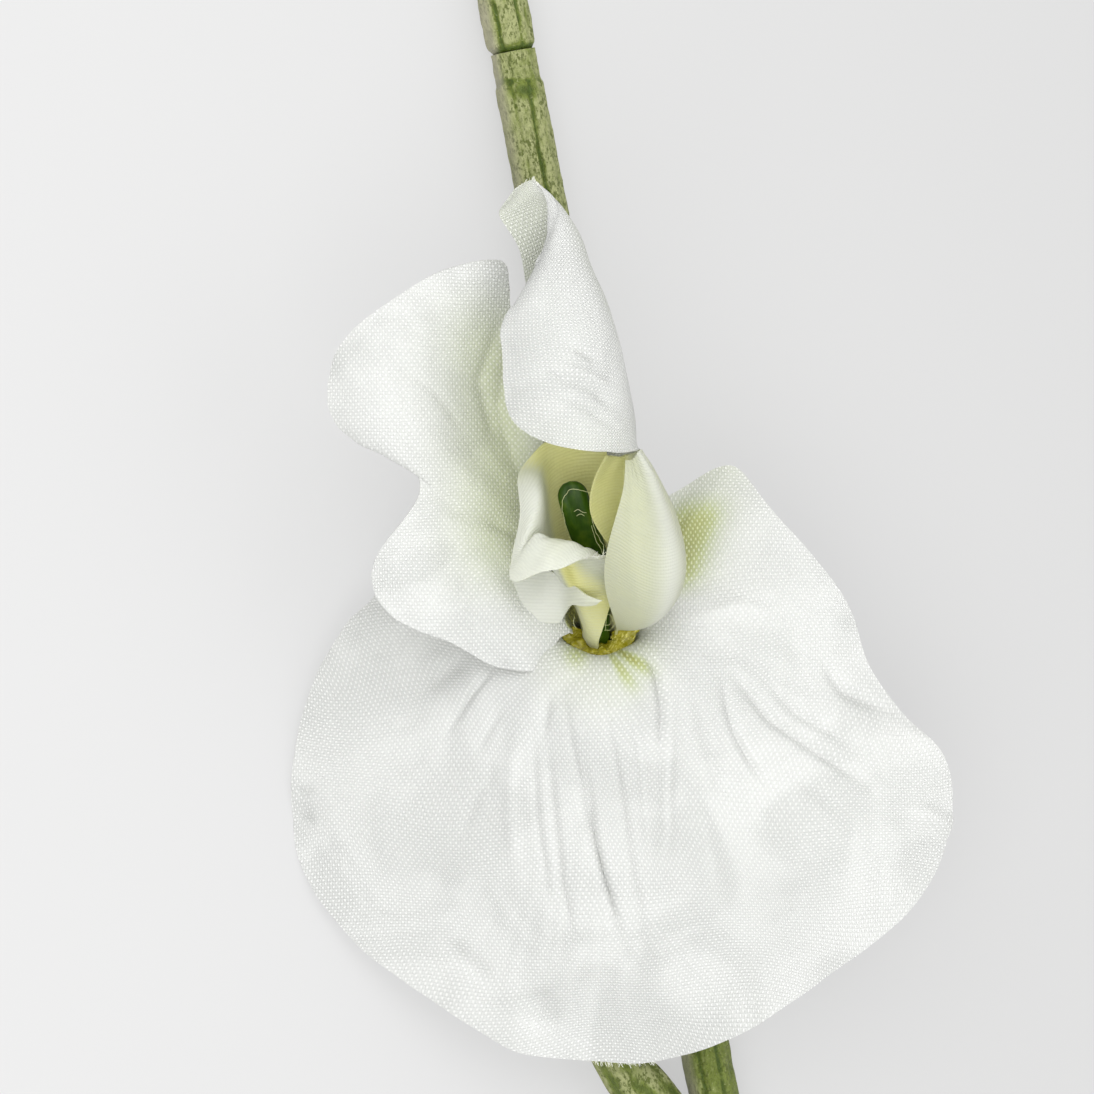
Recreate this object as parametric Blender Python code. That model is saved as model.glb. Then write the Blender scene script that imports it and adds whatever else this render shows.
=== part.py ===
"""Artificial sweet pea flower: one fabric bloom on its own stalk, with the length of main stem it
grows from, laid down on a surface as it would lie when picked.

The shapes are laid out from the flower's throat: X to the right, Y towards the wing petals, Z out of
the flower's face. The whole part is then leaned over until a petal edge meets the surface."""

import math

import bpy
import numpy as np

MM = 0.001

# Cloth and petals
CLOTH = 0.4  # thickness of a stiffened fabric petal
CLAW_IN = -2.5  # how far the petal feet reach into the green cup
CLAW_OUT = 0.6  # where the petal feet leave the cup
KEEL_FOOT = 1.25  # radius of the keel petals' feet round the core
WING_FOOT = 2.05  # radius of the wing petals' feet, outside the keels
BANNER_FOOT = 2.8  # radius of the banner's foot, outside the wings

# Green plastic
CUP_TILT = 30.0  # degrees from the flower's face towards the wings
CUP_LENGTH = 7.0
CUP_MOUTH = 4.3  # outside radius at the mouth
CUP_WALL = 0.8
CUP_LOBES = 5
LOBE_RISE = 0.9
CORE_RADIUS = 0.75
TONGUE_WIDTH = 2.3
TONGUE_THICK = 1.0
STEM_RADIUS = 1.87
BORE_RADIUS = 0.9
WIRE_RADIUS = 0.6
STEM_DEPTH = -10.2  # height of the main stem's axis, from the throat
STEM_X = 2.0  # where the main stem passes behind the throat
STEM_SLOPE = -0.193  # how far the main stem leans left for each unit up
STEM_LOW = -52.0
STEM_HIGH = 50.5
JOINT_LOW = 42.2  # bottom of the slimmer collar where two lengths of stem meet
JOINT_HIGH = 44.3
COLLAR_RADIUS = 1.5
FIT_GAP = 0.3

# Laying down
LEAN = 14.0  # degrees about the main stem, left side down
SHIFT = (-0.16, 0.75, 0.0)  # puts the origin under the middle of the part


def clear_scene():
    for item in list(bpy.data.objects):
        bpy.data.objects.remove(item)


def unit(vector):
    vector = np.asarray(vector, float)
    return vector / np.linalg.norm(vector)


CUP_AXIS = np.array([0.0, math.sin(math.radians(CUP_TILT)), math.cos(math.radians(CUP_TILT))])
CUP_UP = np.array([0.0, math.cos(math.radians(CUP_TILT)), -math.sin(math.radians(CUP_TILT))])
CUP_SIDE = np.array([1.0, 0.0, 0.0])
WING_NECK = (2.25, 1.85)  # radius and height at which the wings clear the banner's foot
KEEL_NECK = (1.3, 1.95)  # the same for the keels, inside the wings


def ring(angle, radius, height):
    """A point round the cup's axis: the angle runs from the right towards the wing side."""
    turn = math.radians(angle)
    across = CUP_SIDE * math.cos(turn) + CUP_UP * math.sin(turn)
    return across * radius + CUP_AXIS * height


def natural_cubic(knots, values, wanted):
    """Values of the natural cubic through the knots."""
    knots = np.asarray(knots, float)
    values = np.asarray(values, float)
    count = len(knots)
    if count == 2:
        share = ((wanted - knots[0]) / (knots[1] - knots[0]))[:, None]
        return values[0] * (1 - share) + values[1] * share
    gap = np.diff(knots)
    system = np.zeros((count, count))
    right = np.zeros((count, values.shape[1]))
    system[0, 0] = 1
    system[-1, -1] = 1
    for i in range(1, count - 1):
        system[i, i - 1] = gap[i - 1]
        system[i, i] = 2 * (gap[i - 1] + gap[i])
        system[i, i + 1] = gap[i]
        rise = (values[i + 1] - values[i]) / gap[i] - (values[i] - values[i - 1]) / gap[i - 1]
        right[i] = 6 * rise
    bend = np.linalg.solve(system, right)
    place = np.clip(np.searchsorted(knots, wanted) - 1, 0, count - 2)
    h = gap[place][:, None]
    left = (knots[place + 1] - wanted)[:, None]
    ahead = (wanted - knots[place])[:, None]
    curve = (bend[place] * left**3 + bend[place + 1] * ahead**3) / (6 * h)
    curve += (values[place] / h - bend[place] * h / 6) * left
    curve += (values[place + 1] / h - bend[place + 1] * h / 6) * ahead
    return curve


def along(points, count):
    """The smooth curve through the points, as evenly spaced points."""
    points = np.asarray(points, float)
    steps = np.linalg.norm(np.diff(points, axis=0), axis=1) ** 0.5
    knots = np.concatenate([[0], np.cumsum(steps)])
    fine = natural_cubic(knots, points, np.linspace(0, knots[-1], 200))
    run = np.concatenate([[0], np.cumsum(np.linalg.norm(np.diff(fine, axis=0), axis=1))])
    wanted = np.linspace(0, run[-1], count)
    return np.stack([np.interp(wanted, run, fine[:, k]) for k in range(3)], axis=1)


def sheet(lines, across, length):
    """A surface through the lines: each line is a curve, and the curves are joined smoothly."""
    lines = np.array([along(line, length) for line in lines])
    middle = lines[:, length // 2]
    ends = lines[:, -1]
    steps = np.linalg.norm(np.diff(middle, axis=0), axis=1)
    steps = (steps + np.linalg.norm(np.diff(ends, axis=0), axis=1)) ** 0.5
    knots = np.concatenate([[0], np.cumsum(steps)])
    flat = lines.reshape(len(lines), -1)
    fine = natural_cubic(knots, flat, np.linspace(0, knots[-1], across))
    return fine.reshape(across, length, 3)


def normals_of(grid):
    across = np.gradient(grid, axis=0)
    length = np.gradient(grid, axis=1)
    normal = np.cross(across, length)
    return normal / np.linalg.norm(normal, axis=2, keepdims=True)


def laid_down(points):
    """From the flower's own directions to the part as it lies."""
    points = np.asarray(points, float).reshape(-1, 3)
    run = unit((STEM_SLOPE, 1.0, 0.0))
    start = np.array([STEM_X, 0.0, STEM_DEPTH])
    turn = -math.radians(LEAN)
    offset = points - start
    turned = offset * math.cos(turn) + np.cross(run, offset) * math.sin(turn)
    turned += run * (offset @ run)[:, None] * (1 - math.cos(turn))
    return turned + start + np.array([0, 0, STEM_RADIUS - STEM_DEPTH]) + np.array(SHIFT)


def material(name, colour, roughness, metallic=0.0):
    made = bpy.data.materials.new(name)
    made.use_nodes = True
    shader = made.node_tree.nodes["Principled BSDF"]
    shader.inputs["Base Color"].default_value = (*colour, 1)
    shader.inputs["Roughness"].default_value = roughness
    shader.inputs["Metallic"].default_value = metallic
    return made


def add_solid(name, points, faces, look, smooth=True):
    mesh = bpy.data.meshes.new(name)
    mesh.from_pydata((laid_down(points) * MM).tolist(), [], faces)
    mesh.update()
    made = bpy.data.objects.new(name, mesh)
    bpy.context.scene.collection.objects.link(made)
    mesh.materials.append(look)
    mesh.polygons.foreach_set("use_smooth", [smooth] * len(mesh.polygons))
    volume = 0.0
    for face in mesh.polygons:
        corner = [mesh.vertices[i].co for i in face.vertices]
        for i in range(1, len(corner) - 1):
            volume += corner[0].dot(corner[i].cross(corner[i + 1]))
    if volume < 0:
        mesh.flip_normals()
    return made


def strip(first, second, closed=False):
    """Quads between two lists of point numbers."""
    count = len(first)
    last = count if closed else count - 1
    faces = []
    for i in range(last):
        j = (i + 1) % count
        faces.append((first[i], first[j], second[j], second[i]))
    return faces


def petal(name, grid, look, thickness=CLOTH):
    """A sheet given its thickness and closed round its edge."""
    rows, columns = grid.shape[:2]
    half = normals_of(grid) * thickness / 2
    points = np.concatenate([(grid + half).reshape(-1, 3), (grid - half).reshape(-1, 3)])
    top = np.arange(rows * columns).reshape(rows, columns)
    under = top + rows * columns
    faces = []
    for i in range(rows - 1):
        faces += strip(top[i].tolist(), top[i + 1].tolist())
        faces += strip(under[i + 1].tolist(), under[i].tolist())
    for line in (top[0], top[-1][::-1], top[:, -1], top[:, 0][::-1]):
        other = line + rows * columns
        faces += strip(other.tolist(), line.tolist())
    return add_solid(name, points, faces, look)


def frames_along(path):
    """Two directions square to the path at each of its points."""
    run = np.gradient(path, axis=0)
    run /= np.linalg.norm(run, axis=1, keepdims=True)
    side = np.cross(run, (0.0, 0.0, 1.0))
    side /= np.linalg.norm(side, axis=1, keepdims=True)
    return side, np.cross(side, run)


def tube(name, path, radii, look, bore=None, sides=24, flatten=None):
    """A round bar along the path, hollow where a bore is given."""
    path = np.asarray(path, float)
    side, up = frames_along(path)
    turns = np.linspace(0, 2 * math.pi, sides, endpoint=False)
    circle = np.stack([np.cos(turns), np.sin(turns)], axis=1)
    radii = np.broadcast_to(radii, len(path))
    squash = np.ones(len(path)) if flatten is None else np.asarray(flatten)
    rings = []
    for centre, s, u, radius, flat in zip(path, side, up, radii, squash):
        rings.append(centre + radius * (circle[:, :1] * s + circle[:, 1:] * u * flat))
    count = len(rings)
    numbers = np.arange(count * sides).reshape(count, sides)
    faces = []
    for i in range(count - 1):
        faces += strip(numbers[i].tolist(), numbers[i + 1].tolist(), closed=True)
    if bore is None:
        faces.append(tuple(numbers[0].tolist()[::-1]))
        faces.append(tuple(numbers[-1].tolist()))
        return add_solid(name, np.concatenate(rings), faces, look)
    for centre, s, u in zip(path, side, up):
        rings.append(centre + bore * (circle[:, :1] * s + circle[:, 1:] * u))
    inner = numbers + count * sides
    for i in range(count - 1):
        faces += strip(inner[i + 1].tolist(), inner[i].tolist(), closed=True)
    faces += strip(inner[0].tolist(), numbers[0].tolist(), closed=True)
    faces += strip(numbers[-1].tolist(), inner[-1].tolist(), closed=True)
    return add_solid(name, np.concatenate(rings), faces, look)


def on_stem(height, depth=STEM_DEPTH):
    return (STEM_X + STEM_SLOPE * height, height, depth)


def add_cup(look):
    """The green cup under the petals: a closed base, a thin wall and five low lobes."""
    sides = CUP_LOBES * 10
    profile = (
        (1.5, -7.0, 0.0),
        (2.3, -6.7, 0.0),
        (3.2, -5.6, 0.0),
        (3.85, -3.8, 0.0),
        (CUP_MOUTH, -1.2, 0.2),
        (CUP_MOUTH, 0.0, 1.0),
        (CUP_MOUTH - CUP_WALL, 0.0, 1.0),
        (CUP_MOUTH - CUP_WALL, -1.2, 0.2),
        (CUP_MOUTH - CUP_WALL, -3.0, 0.0),
        (2.2, -4.9, 0.0),
    )
    points = []
    for radius, height, share in profile:
        for k in range(sides):
            angle = 360 * k / sides
            wave = abs(math.sin(math.radians(angle * CUP_LOBES / 2 + 45)))
            points.append(ring(angle, radius, height + share * LOBE_RISE * wave))
    numbers = np.arange(len(points)).reshape(len(profile), sides)
    faces = []
    for i in range(len(profile) - 1):
        faces += strip(numbers[i].tolist(), numbers[i + 1].tolist(), closed=True)
    faces.append(tuple(numbers[0].tolist()[::-1]))
    faces.append(tuple(numbers[-1].tolist()))
    return add_solid("calyx", np.array(points), faces, look)


def add_core(look):
    """The green peg the petals are threaded on, which ends in a flat tongue."""
    path = along(
        [
            ring(90, 0, -4.4),
            ring(90, 0, -1.0),
            ring(90, 0, 1.2),
            (0.0, 1.5, 1.9),
            (-0.1, 3.6, 2.8),
            (-0.8, 7.0, 3.6),
            (-1.75, 9.8, 4.9),
            (-2.3, 11.9, 5.8),
        ],
        22,
    )
    share = np.linspace(0, 1, len(path))
    grown = np.clip((share - 0.38) / 0.2, 0, 1)
    radii = CORE_RADIUS + (TONGUE_WIDTH / 2 - CORE_RADIUS) * grown
    flatten = 1 + (TONGUE_THICK / TONGUE_WIDTH - 1) * grown
    radii[-3:] *= (0.93, 0.78, 0.45)
    return tube("flower_core", path, radii, look, sides=20, flatten=flatten)


def add_glue(look):
    """The bead of set glue in the lower half of the throat."""
    path = []
    radii = []
    for k in range(19):
        angle = 196 + 148 * k / 18
        lump = 1 + 0.1 * math.sin(2.1 * k) + 0.06 * math.sin(5.3 * k)
        path.append(ring(angle, 2.06, -0.1 + 0.3 * math.sin(1.3 * k)))
        radii.append(0.31 * lump * min(1.0, 0.55 + 0.25 * min(k, 18 - k)))
    path = np.array(path)
    run = np.gradient(path, axis=0)
    run /= np.linalg.norm(run, axis=1, keepdims=True)
    out = np.cross(run, CUP_AXIS)
    out /= np.linalg.norm(out, axis=1, keepdims=True)
    sides = 12
    points = []
    for centre, direction, radius in zip(path, out, radii):
        for k in range(sides):
            turn = 2 * math.pi * k / sides
            rise = CUP_AXIS * math.sin(turn) * 1.9
            points.append(centre + radius * (direction * math.cos(turn) + rise))
    numbers = np.arange(len(points)).reshape(len(path), sides)
    faces = []
    for i in range(len(path) - 1):
        faces += strip(numbers[i].tolist(), numbers[i + 1].tolist(), closed=True)
    faces.append(tuple(numbers[0].tolist()[::-1]))
    faces.append(tuple(numbers[-1].tolist()))
    return add_solid("throat_glue", np.array(points), faces, look)


def foot(angle, radius):
    return [ring(angle, radius, CLAW_IN), ring(angle, radius, CLAW_OUT)]


BANNER_EDGE = (
    # angle of the foot, then the edge point it reaches
    (62, (5.2, 10.8, -3.0)),
    (50, (7.3, 12.0, -3.6)),
    (40, (10.0, 13.1, -3.6)),
    (32, (12.0, 10.9, -3.2)),
    (20, (15.0, 7.5, -2.6)),
    (8, (17.6, 4.1, -2.4)),
    (-2, (19.9, -1.1, -2.8)),
    (-12, (23.6, -6.4, -3.6)),
    (-24, (26.5, -12.0, -4.0)),
    (-34, (25.9, -15.8, -3.4)),
    (-46, (21.0, -22.5, -2.6)),
    (-58, (16.5, -25.9, -3.0)),
    (-70, (12.0, -28.9, -2.6)),
    (-82, (6.0, -31.3, -3.0)),
    (-94, (0.0, -31.9, -2.2)),
    (-106, (-6.0, -31.1, -2.8)),
    (-118, (-13.5, -26.6, -4.2)),
    (-132, (-18.0, -23.3, -4.8)),
    (-146, (-21.8, -18.8, -4.9)),
    (-160, (-23.4, -12.0, -4.9)),
    (-172, (-22.2, -5.2, -4.6)),
    (-184, (-20.2, -0.6, -4.2)),
    (-194, (-17.3, 3.1, -4.0)),
    (-206, (-15.2, 7.5, -4.4)),
    (-218, (-12.4, 11.0, -4.8)),
    (-230, (-9.8, 12.8, -5.0)),
)


def banner_lines():
    lines = []
    for angle, edge in BANNER_EDGE:
        low = max(0.0, -CUP_UP @ ring(angle, 1.0, 0.0) * 0.75 + 0.25)
        low = min(1.0, low)
        shoulder = ring(angle, 5.4, 1.6 + 1.1 * low)
        edge = np.array(edge)
        rib = foot(angle, BANNER_FOOT) + [ring(angle, 3.8, 1.75 + 0.7 * low), shoulder]
        for share, rise in ((0.35, 1.2), (0.7, 1.1)):
            point = shoulder * (1 - share) + edge * share
            point[2] += rise * (0.15 + 0.85 * low)
            rib.append(point)
        lines.append(rib + [edge])
    return lines


LEFT_WING = (
    (118, (-2.3, 4.9, 0.5), (-4.0, 9.4, 0.9), (-6.1, 15.0, 2.2), (-7.2, 21.0, 4.0), (-7.7, 28.4, 6.2)),
    (122, (-2.5, 4.9, 0.5), (-4.5, 9.4, 1.1), (-7.4, 15.0, 3.0), (-8.9, 21.2, 6.4), (-9.8, 28.2, 9.2)),
    (126, (-2.7, 4.9, 0.4), (-5.0, 9.3, 1.4), (-8.6, 14.8, 4.4), (-11.0, 20.8, 8.6), (-12.4, 27.3, 9.6)),
    (130, (-2.9, 4.9, 0.5), (-5.5, 9.0, 1.8), (-9.6, 14.0, 5.2), (-13.2, 19.4, 9.2), (-16.0, 25.1, 9.2)),
    (134, (-3.0, 4.8, 0.6), (-5.9, 8.6, 2.1), (-10.2, 12.9, 5.7), (-15.2, 17.5, 9.2), (-19.5, 21.8, 8.2)),
    (138, (-3.1, 4.7, 0.8), (-6.2, 8.1, 2.3), (-10.4, 11.8, 5.8), (-15.6, 15.4, 8.7), (-20.2, 17.6, 7.4)),
    (142, (-3.2, 4.5, 0.9), (-6.4, 7.6, 2.4), (-10.4, 10.8, 5.6), (-14.6, 13.5, 8.0), (-18.6, 15.2, 7.2)),
    (146, (-3.3, 4.2, 1.0), (-6.4, 7.0, 2.5), (-9.8, 9.6, 5.0), (-12.6, 11.6, 7.0), (-15.0, 13.6, 7.4)),
    (150, (-3.4, 3.9, 1.1), (-6.4, 6.3, 2.5), (-9.4, 8.4, 4.5), (-11.7, 9.9, 6.3), (-13.5, 11.2, 7.0)),
    (154, (-3.4, 3.6, 1.3), (-6.4, 5.5, 2.5), (-9.6, 6.9, 4.3), (-12.7, 7.8, 6.1), (-15.3, 8.3, 6.6)),
    (158, (-3.4, 3.3, 1.5), (-6.4, 4.6, 2.6), (-9.8, 5.0, 4.2), (-13.6, 5.0, 5.8), (-17.1, 4.9, 5.8)),
    (164, (-3.3, 2.9, 1.7), (-6.0, 3.7, 2.9), (-9.0, 3.3, 4.3), (-12.3, 2.5, 5.2), (-15.4, 1.7, 5.0)),
    (170, (-3.2, 2.4, 2.0), (-5.4, 2.8, 3.3), (-7.3, 2.0, 4.3), (-9.4, 0.9, 4.8), (-11.3, -0.1, 4.7)),
    (176, (-3.0, 1.8, 2.3), (-4.7, 1.9, 3.7), (-5.9, 0.8, 4.5), (-7.1, -0.6, 4.8), (-8.1, -1.9, 4.8)),
    (182, (-2.8, 1.2, 2.5), (-3.8, 1.2, 3.8), (-4.5, 0.3, 4.6), (-5.2, -0.9, 5.0), (-5.7, -2.2, 5.0)),
)

RIGHT_WING = (
    ((-0.8, 5.2, 0.0), (0.6, 5.6, -0.1), (1.9, 5.6, 0.2), (3.2, 5.4, 1.2)),
    ((-2.1, 9.8, 0.5), (-0.3, 10.0, 0.4), (1.7, 10.2, 0.8), (3.5, 10.0, 2.3)),
    ((-3.3, 12.2, 1.2), (-1.0, 12.6, 0.9), (1.3, 12.9, 1.2), (3.1, 13.2, 3.0)),
    ((-4.2, 14.4, 2.0), (-1.8, 15.0, 1.5), (0.8, 15.4, 1.8), (2.3, 15.7, 3.8), (2.6, 15.7, 6.6),
     (2.5, 15.2, 9.8)),
    ((-4.9, 17.5, 3.4), (-2.2, 18.3, 2.9), (0.4, 18.6, 3.2), (2.0, 18.4, 5.4), (2.1, 17.4, 8.9),
     (0.8, 16.0, 11.5), (-0.6, 14.4, 12.4)),
    ((-5.2, 20.8, 4.6), (-2.6, 22.0, 4.2), (-0.1, 22.3, 4.7), (1.3, 22.0, 6.8), (1.2, 20.6, 9.8),
     (-0.9, 18.4, 12.0), (-3.2, 16.3, 12.4), (-4.6, 15.0, 12.1)),
    ((-5.3, 24.2, 5.9), (-3.2, 25.4, 5.6), (-0.9, 25.8, 6.1), (0.3, 25.3, 7.9), (0.1, 24.2, 10.2),
     (-2.2, 22.0, 11.9), (-4.8, 19.4, 12.2), (-6.9, 17.2, 11.2)),
    ((-5.6, 27.2, 7.2), (-3.9, 28.2, 7.0), (-1.9, 28.8, 7.4), (-0.9, 28.4, 8.7), (-1.1, 27.4, 10.4),
     (-3.0, 25.4, 11.6), (-5.0, 23.0, 12.2), (-7.2, 20.6, 11.2)),
    ((-6.2, 29.6, 8.4), (-4.6, 30.4, 8.2), (-2.8, 31.0, 8.6), (-1.8, 30.7, 9.6), (-2.0, 30.0, 10.8),
     (-3.2, 28.4, 11.8), (-5.0, 26.0, 12.0), (-7.3, 23.2, 11.2)),
    ((-7.4, 31.4, 9.2), (-6.0, 32.0, 9.2), (-4.4, 32.5, 9.4), (-3.0, 32.4, 10.2), (-2.7, 31.6, 11.0),
     (-3.4, 30.0, 11.7), (-4.6, 27.9, 11.6), (-6.3, 25.3, 11.2)),
    ((-7.2, 32.5, 9.6), (-6.2, 33.1, 9.7), (-5.0, 33.5, 10.0), (-3.9, 33.3, 10.6), (-3.4, 32.4, 11.1),
     (-3.6, 31.0, 11.3), (-4.3, 29.0, 11.2)),
    ((-6.4, 33.6, 10.0), (-5.8, 34.0, 10.1), (-5.1, 34.3, 10.3), (-4.5, 33.8, 10.6),
     (-4.0, 33.0, 10.8), (-3.75, 31.6, 10.9)),
)


def right_wing_lines():
    """Lines across the petal: it is rolled, so each runs up the back and over to the front."""
    lines = []
    for radius, height in ((WING_FOOT, CLAW_IN), (WING_FOOT, CLAW_OUT), WING_NECK):
        lines.append([ring(angle, radius, height) for angle in (98, 73, 48, 25)])
    return lines + [list(row) for row in RIGHT_WING]


LEFT_KEEL = (
    (79, (0.3, 5.0, 1.3), (0.6, 9.5, 2.1), (0.5, 14.2, 3.2), (0.5, 14.5, 3.3)),
    (105, (-0.8, 5.0, 1.1), (-1.3, 9.6, 2.0), (-1.8, 14.0, 3.3), (-1.9, 15.0, 3.6)),
    (135, (-1.9, 4.8, 1.3), (-3.0, 9.5, 2.7), (-3.7, 14.0, 4.3), (-3.8, 15.0, 4.8)),
    (165, (-2.4, 4.4, 2.1), (-4.0, 8.8, 4.0), (-4.6, 12.2, 6.0), (-6.0, 12.4, 5.6)),
    (192, (-2.4, 3.8, 3.0), (-4.3, 7.2, 5.2), (-4.9, 9.6, 6.8), (-6.0, 9.6, 6.3)),
    (212, (-2.1, 3.2, 3.5), (-3.7, 6.2, 5.9), (-4.6, 8.0, 7.2), (-6.7, 4.6, 6.8)),
    (230, (-1.5, 2.6, 3.9), (-2.6, 5.6, 6.0), (-3.3, 7.5, 7.6), (-4.7, 5.0, 7.9)),
    (248, (-0.9, 2.3, 4.0), (-1.6, 5.2, 5.9), (-2.0, 7.3, 7.5), (-2.9, 5.4, 8.0)),
    (264, (-0.3, 2.1, 3.9), (-0.7, 4.9, 5.6), (-0.9, 6.9, 7.0), (-1.4, 6.1, 7.6)),
    (276, (0.2, 2.0, 3.7), (0.1, 4.5, 5.2), (0.1, 6.0, 6.2), (0.2, 6.4, 6.4)),
)

RIGHT_KEEL = (
    (54, (1.7, 3.2, 1.9), (0.9, 6.8, 5.2), (-0.7, 9.6, 6.9), (-0.3, 12.3, 7.6), (0.5, 13.6, 8.0)),
    (42, (2.3, 3.0, 1.9), (2.6, 6.6, 3.8), (1.7, 9.8, 5.4), (1.5, 12.4, 6.4), (1.6, 13.8, 7.0)),
    (22, (3.3, 2.5, 2.4), (4.9, 5.6, 3.9), (4.3, 9.8, 5.2), (3.3, 12.4, 6.4), (2.6, 13.9, 7.4)),
    (2, (4.1, 1.9, 3.6), (6.3, 5.0, 5.6), (5.5, 9.6, 6.7), (4.1, 12.3, 7.6), (3.1, 13.9, 8.4)),
    (-18, (3.8, 1.3, 4.8), (5.3, 4.4, 7.8), (4.8, 9.2, 8.8), (3.8, 12.2, 9.2), (2.9, 13.8, 9.4)),
    (-38, (2.6, 1.1, 4.9), (3.0, 4.2, 8.4), (3.1, 9.0, 9.8), (2.8, 12.0, 10.0), (2.5, 13.4, 9.8)),
    (-54, (1.0, 1.6, 4.0), (0.6, 4.4, 7.2), (1.1, 8.6, 9.4), (1.8, 11.8, 10.0), (1.9, 13.2, 9.8)),
)


def ribs(table, radius, neck=None):
    """Lines from the foot of a petal to its edge; a neck holds them clear of the petal outside."""
    lines = []
    for angle, *points in table:
        start = foot(angle, radius)
        if neck:
            start.append(ring(angle, *neck))
        lines.append(start + [np.array(p) for p in points])
    return lines


def add_stems(look, wire_look):
    heights = [STEM_LOW, -40.0, -20.0, 0.0, 20.0, 38.0, JOINT_LOW - 0.4, JOINT_LOW, JOINT_HIGH]
    path = [on_stem(height) for height in heights]
    radii = [STEM_RADIUS] * 7 + [COLLAR_RADIUS] * 2
    lower = tube("stem_lower", path, radii, look, bore=BORE_RADIUS)
    branch = tube("branch_cutter", STUB_PATH, STUB_RADII, look, sides=20)
    weld(lower, branch)
    high = np.linspace(JOINT_HIGH + FIT_GAP, STEM_HIGH, 3)
    tube("stem_upper", [on_stem(height) for height in high], STEM_RADIUS, look, bore=BORE_RADIUS)
    wire = np.linspace(STEM_LOW, STEM_HIGH, 9)
    tube("stem_wire", [on_stem(height) for height in wire], WIRE_RADIUS, wire_look, sides=12)


def weld(base, extra):
    """Joins two closed meshes into one solid."""
    joined = base.modifiers.new("join", "BOOLEAN")
    joined.operation = "UNION"
    joined.solver = "EXACT"
    joined.object = extra
    bpy.context.view_layer.update()
    graph = bpy.context.evaluated_depsgraph_get()
    made = bpy.data.meshes.new_from_object(base.evaluated_get(graph))
    base.modifiers.clear()
    base.data = made
    bpy.data.objects.remove(extra)


# The stub starts inside the stem's wall, clear of the bore, and grows as it leaves the stem
STUB_PATH = (
    (8.60, -42.0, -10.0),
    (7.75, -40.6, -9.75),
    (6.95, -39.3, -9.45),
    (6.20, -38.1, -9.15),
    (5.55, -37.1, -8.9),
)
STUB_RADII = (0.5, 1.25, 1.85, 2.1, 2.1)

PEDICEL = (
    (5.27, -36.68, -8.78),
    (3.15, -34.0, -8.3),
    (1.5, -31.7, -7.9),
    (-0.4, -25.0, -7.6),
    (-1.1, -16.0, -7.5),
    (-0.95, -9.5, -8.2),
    (-0.5, -6.2, -8.3),
    (-0.1, -4.3, -7.4),
    (0.0, -3.67, -6.36),
)


def add_pedicel(look):
    path = along(PEDICEL, 34)
    share = np.linspace(0, 1, len(path))
    radii = 2.1 - 0.6 * np.clip((share - 0.05) / 0.8, 0, 1)
    radii[-1] = 1.45
    return tube("pedicel", path, radii, look, sides=20)


def main():
    clear_scene()
    cloth = material("white_cloth", (0.80, 0.80, 0.78), 0.6)
    yellow_cloth = material("green_white_cloth", (0.72, 0.73, 0.58), 0.6)
    plastic = material("green_plastic", (0.29, 0.33, 0.12), 0.55)
    dark = material("dark_green_plastic", (0.05, 0.12, 0.01), 0.3)
    glue = material("amber_glue", (0.62, 0.58, 0.22), 0.2)
    steel = material("wire", (0.55, 0.55, 0.55), 0.35, 1.0)
    petal("banner_petal", sheet(banner_lines(), 46, 14), cloth)
    petal("wing_petal_left", sheet(ribs(LEFT_WING, WING_FOOT, WING_NECK), 34, 14), cloth)
    petal("wing_petal_right", sheet(right_wing_lines(), 24, 22), cloth)
    petal("keel_petal_left", sheet(ribs(LEFT_KEEL, KEEL_FOOT, KEEL_NECK), 24, 14), yellow_cloth)
    petal("keel_petal_right", sheet(ribs(RIGHT_KEEL, KEEL_FOOT, KEEL_NECK), 18, 14), yellow_cloth)
    add_core(dark)
    add_glue(glue)
    add_cup(plastic)
    add_pedicel(plastic)
    add_stems(plastic, steel)


main()
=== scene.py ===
import math

import bpy
import numpy as np
from mathutils import Matrix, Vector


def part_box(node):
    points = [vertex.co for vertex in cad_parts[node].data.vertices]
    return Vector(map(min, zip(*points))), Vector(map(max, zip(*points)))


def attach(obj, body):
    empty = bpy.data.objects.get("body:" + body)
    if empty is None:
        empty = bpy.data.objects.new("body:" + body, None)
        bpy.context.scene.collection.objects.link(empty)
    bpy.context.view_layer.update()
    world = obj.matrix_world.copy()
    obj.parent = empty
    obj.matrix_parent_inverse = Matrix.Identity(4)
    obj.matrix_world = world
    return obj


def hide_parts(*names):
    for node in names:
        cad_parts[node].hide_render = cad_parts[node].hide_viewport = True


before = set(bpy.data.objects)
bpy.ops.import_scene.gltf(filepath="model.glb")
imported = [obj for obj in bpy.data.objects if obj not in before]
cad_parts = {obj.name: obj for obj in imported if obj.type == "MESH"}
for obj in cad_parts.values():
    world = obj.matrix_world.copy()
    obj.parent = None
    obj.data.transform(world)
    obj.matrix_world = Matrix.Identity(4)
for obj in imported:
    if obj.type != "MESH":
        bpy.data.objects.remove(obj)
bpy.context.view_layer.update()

# ---------------------------------------------------------------------------------------------
# Stem wire. A drawn steel wire runs the whole length of the main stem and shows at the two cut
# ends. The flower is laid out in millimetres from its throat, X right, Y up the stem, Z out of
# its face, and then leaned about the main stem until a petal's edge meets the surface.
# ---------------------------------------------------------------------------------------------
MM = 0.001
LEAN = math.radians(14.0)
STEM_RADIUS = 1.87
STEM_START = np.array([2.0, 0.0, -10.2])
STEM_SLOPE = -0.193
STEM_RUN = np.array([STEM_SLOPE, 1.0, 0.0]) / math.hypot(STEM_SLOPE, 1.0)
STEM_LOW = -52.0
STEM_HIGH = 50.5
WIRE_STEEL = (0.52, 0.52, 0.50, 1)


def on_stem(height):
    """The middle of the main stem at a height above the throat."""
    return STEM_START + np.array([STEM_SLOPE * height, height, 0.0])


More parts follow.
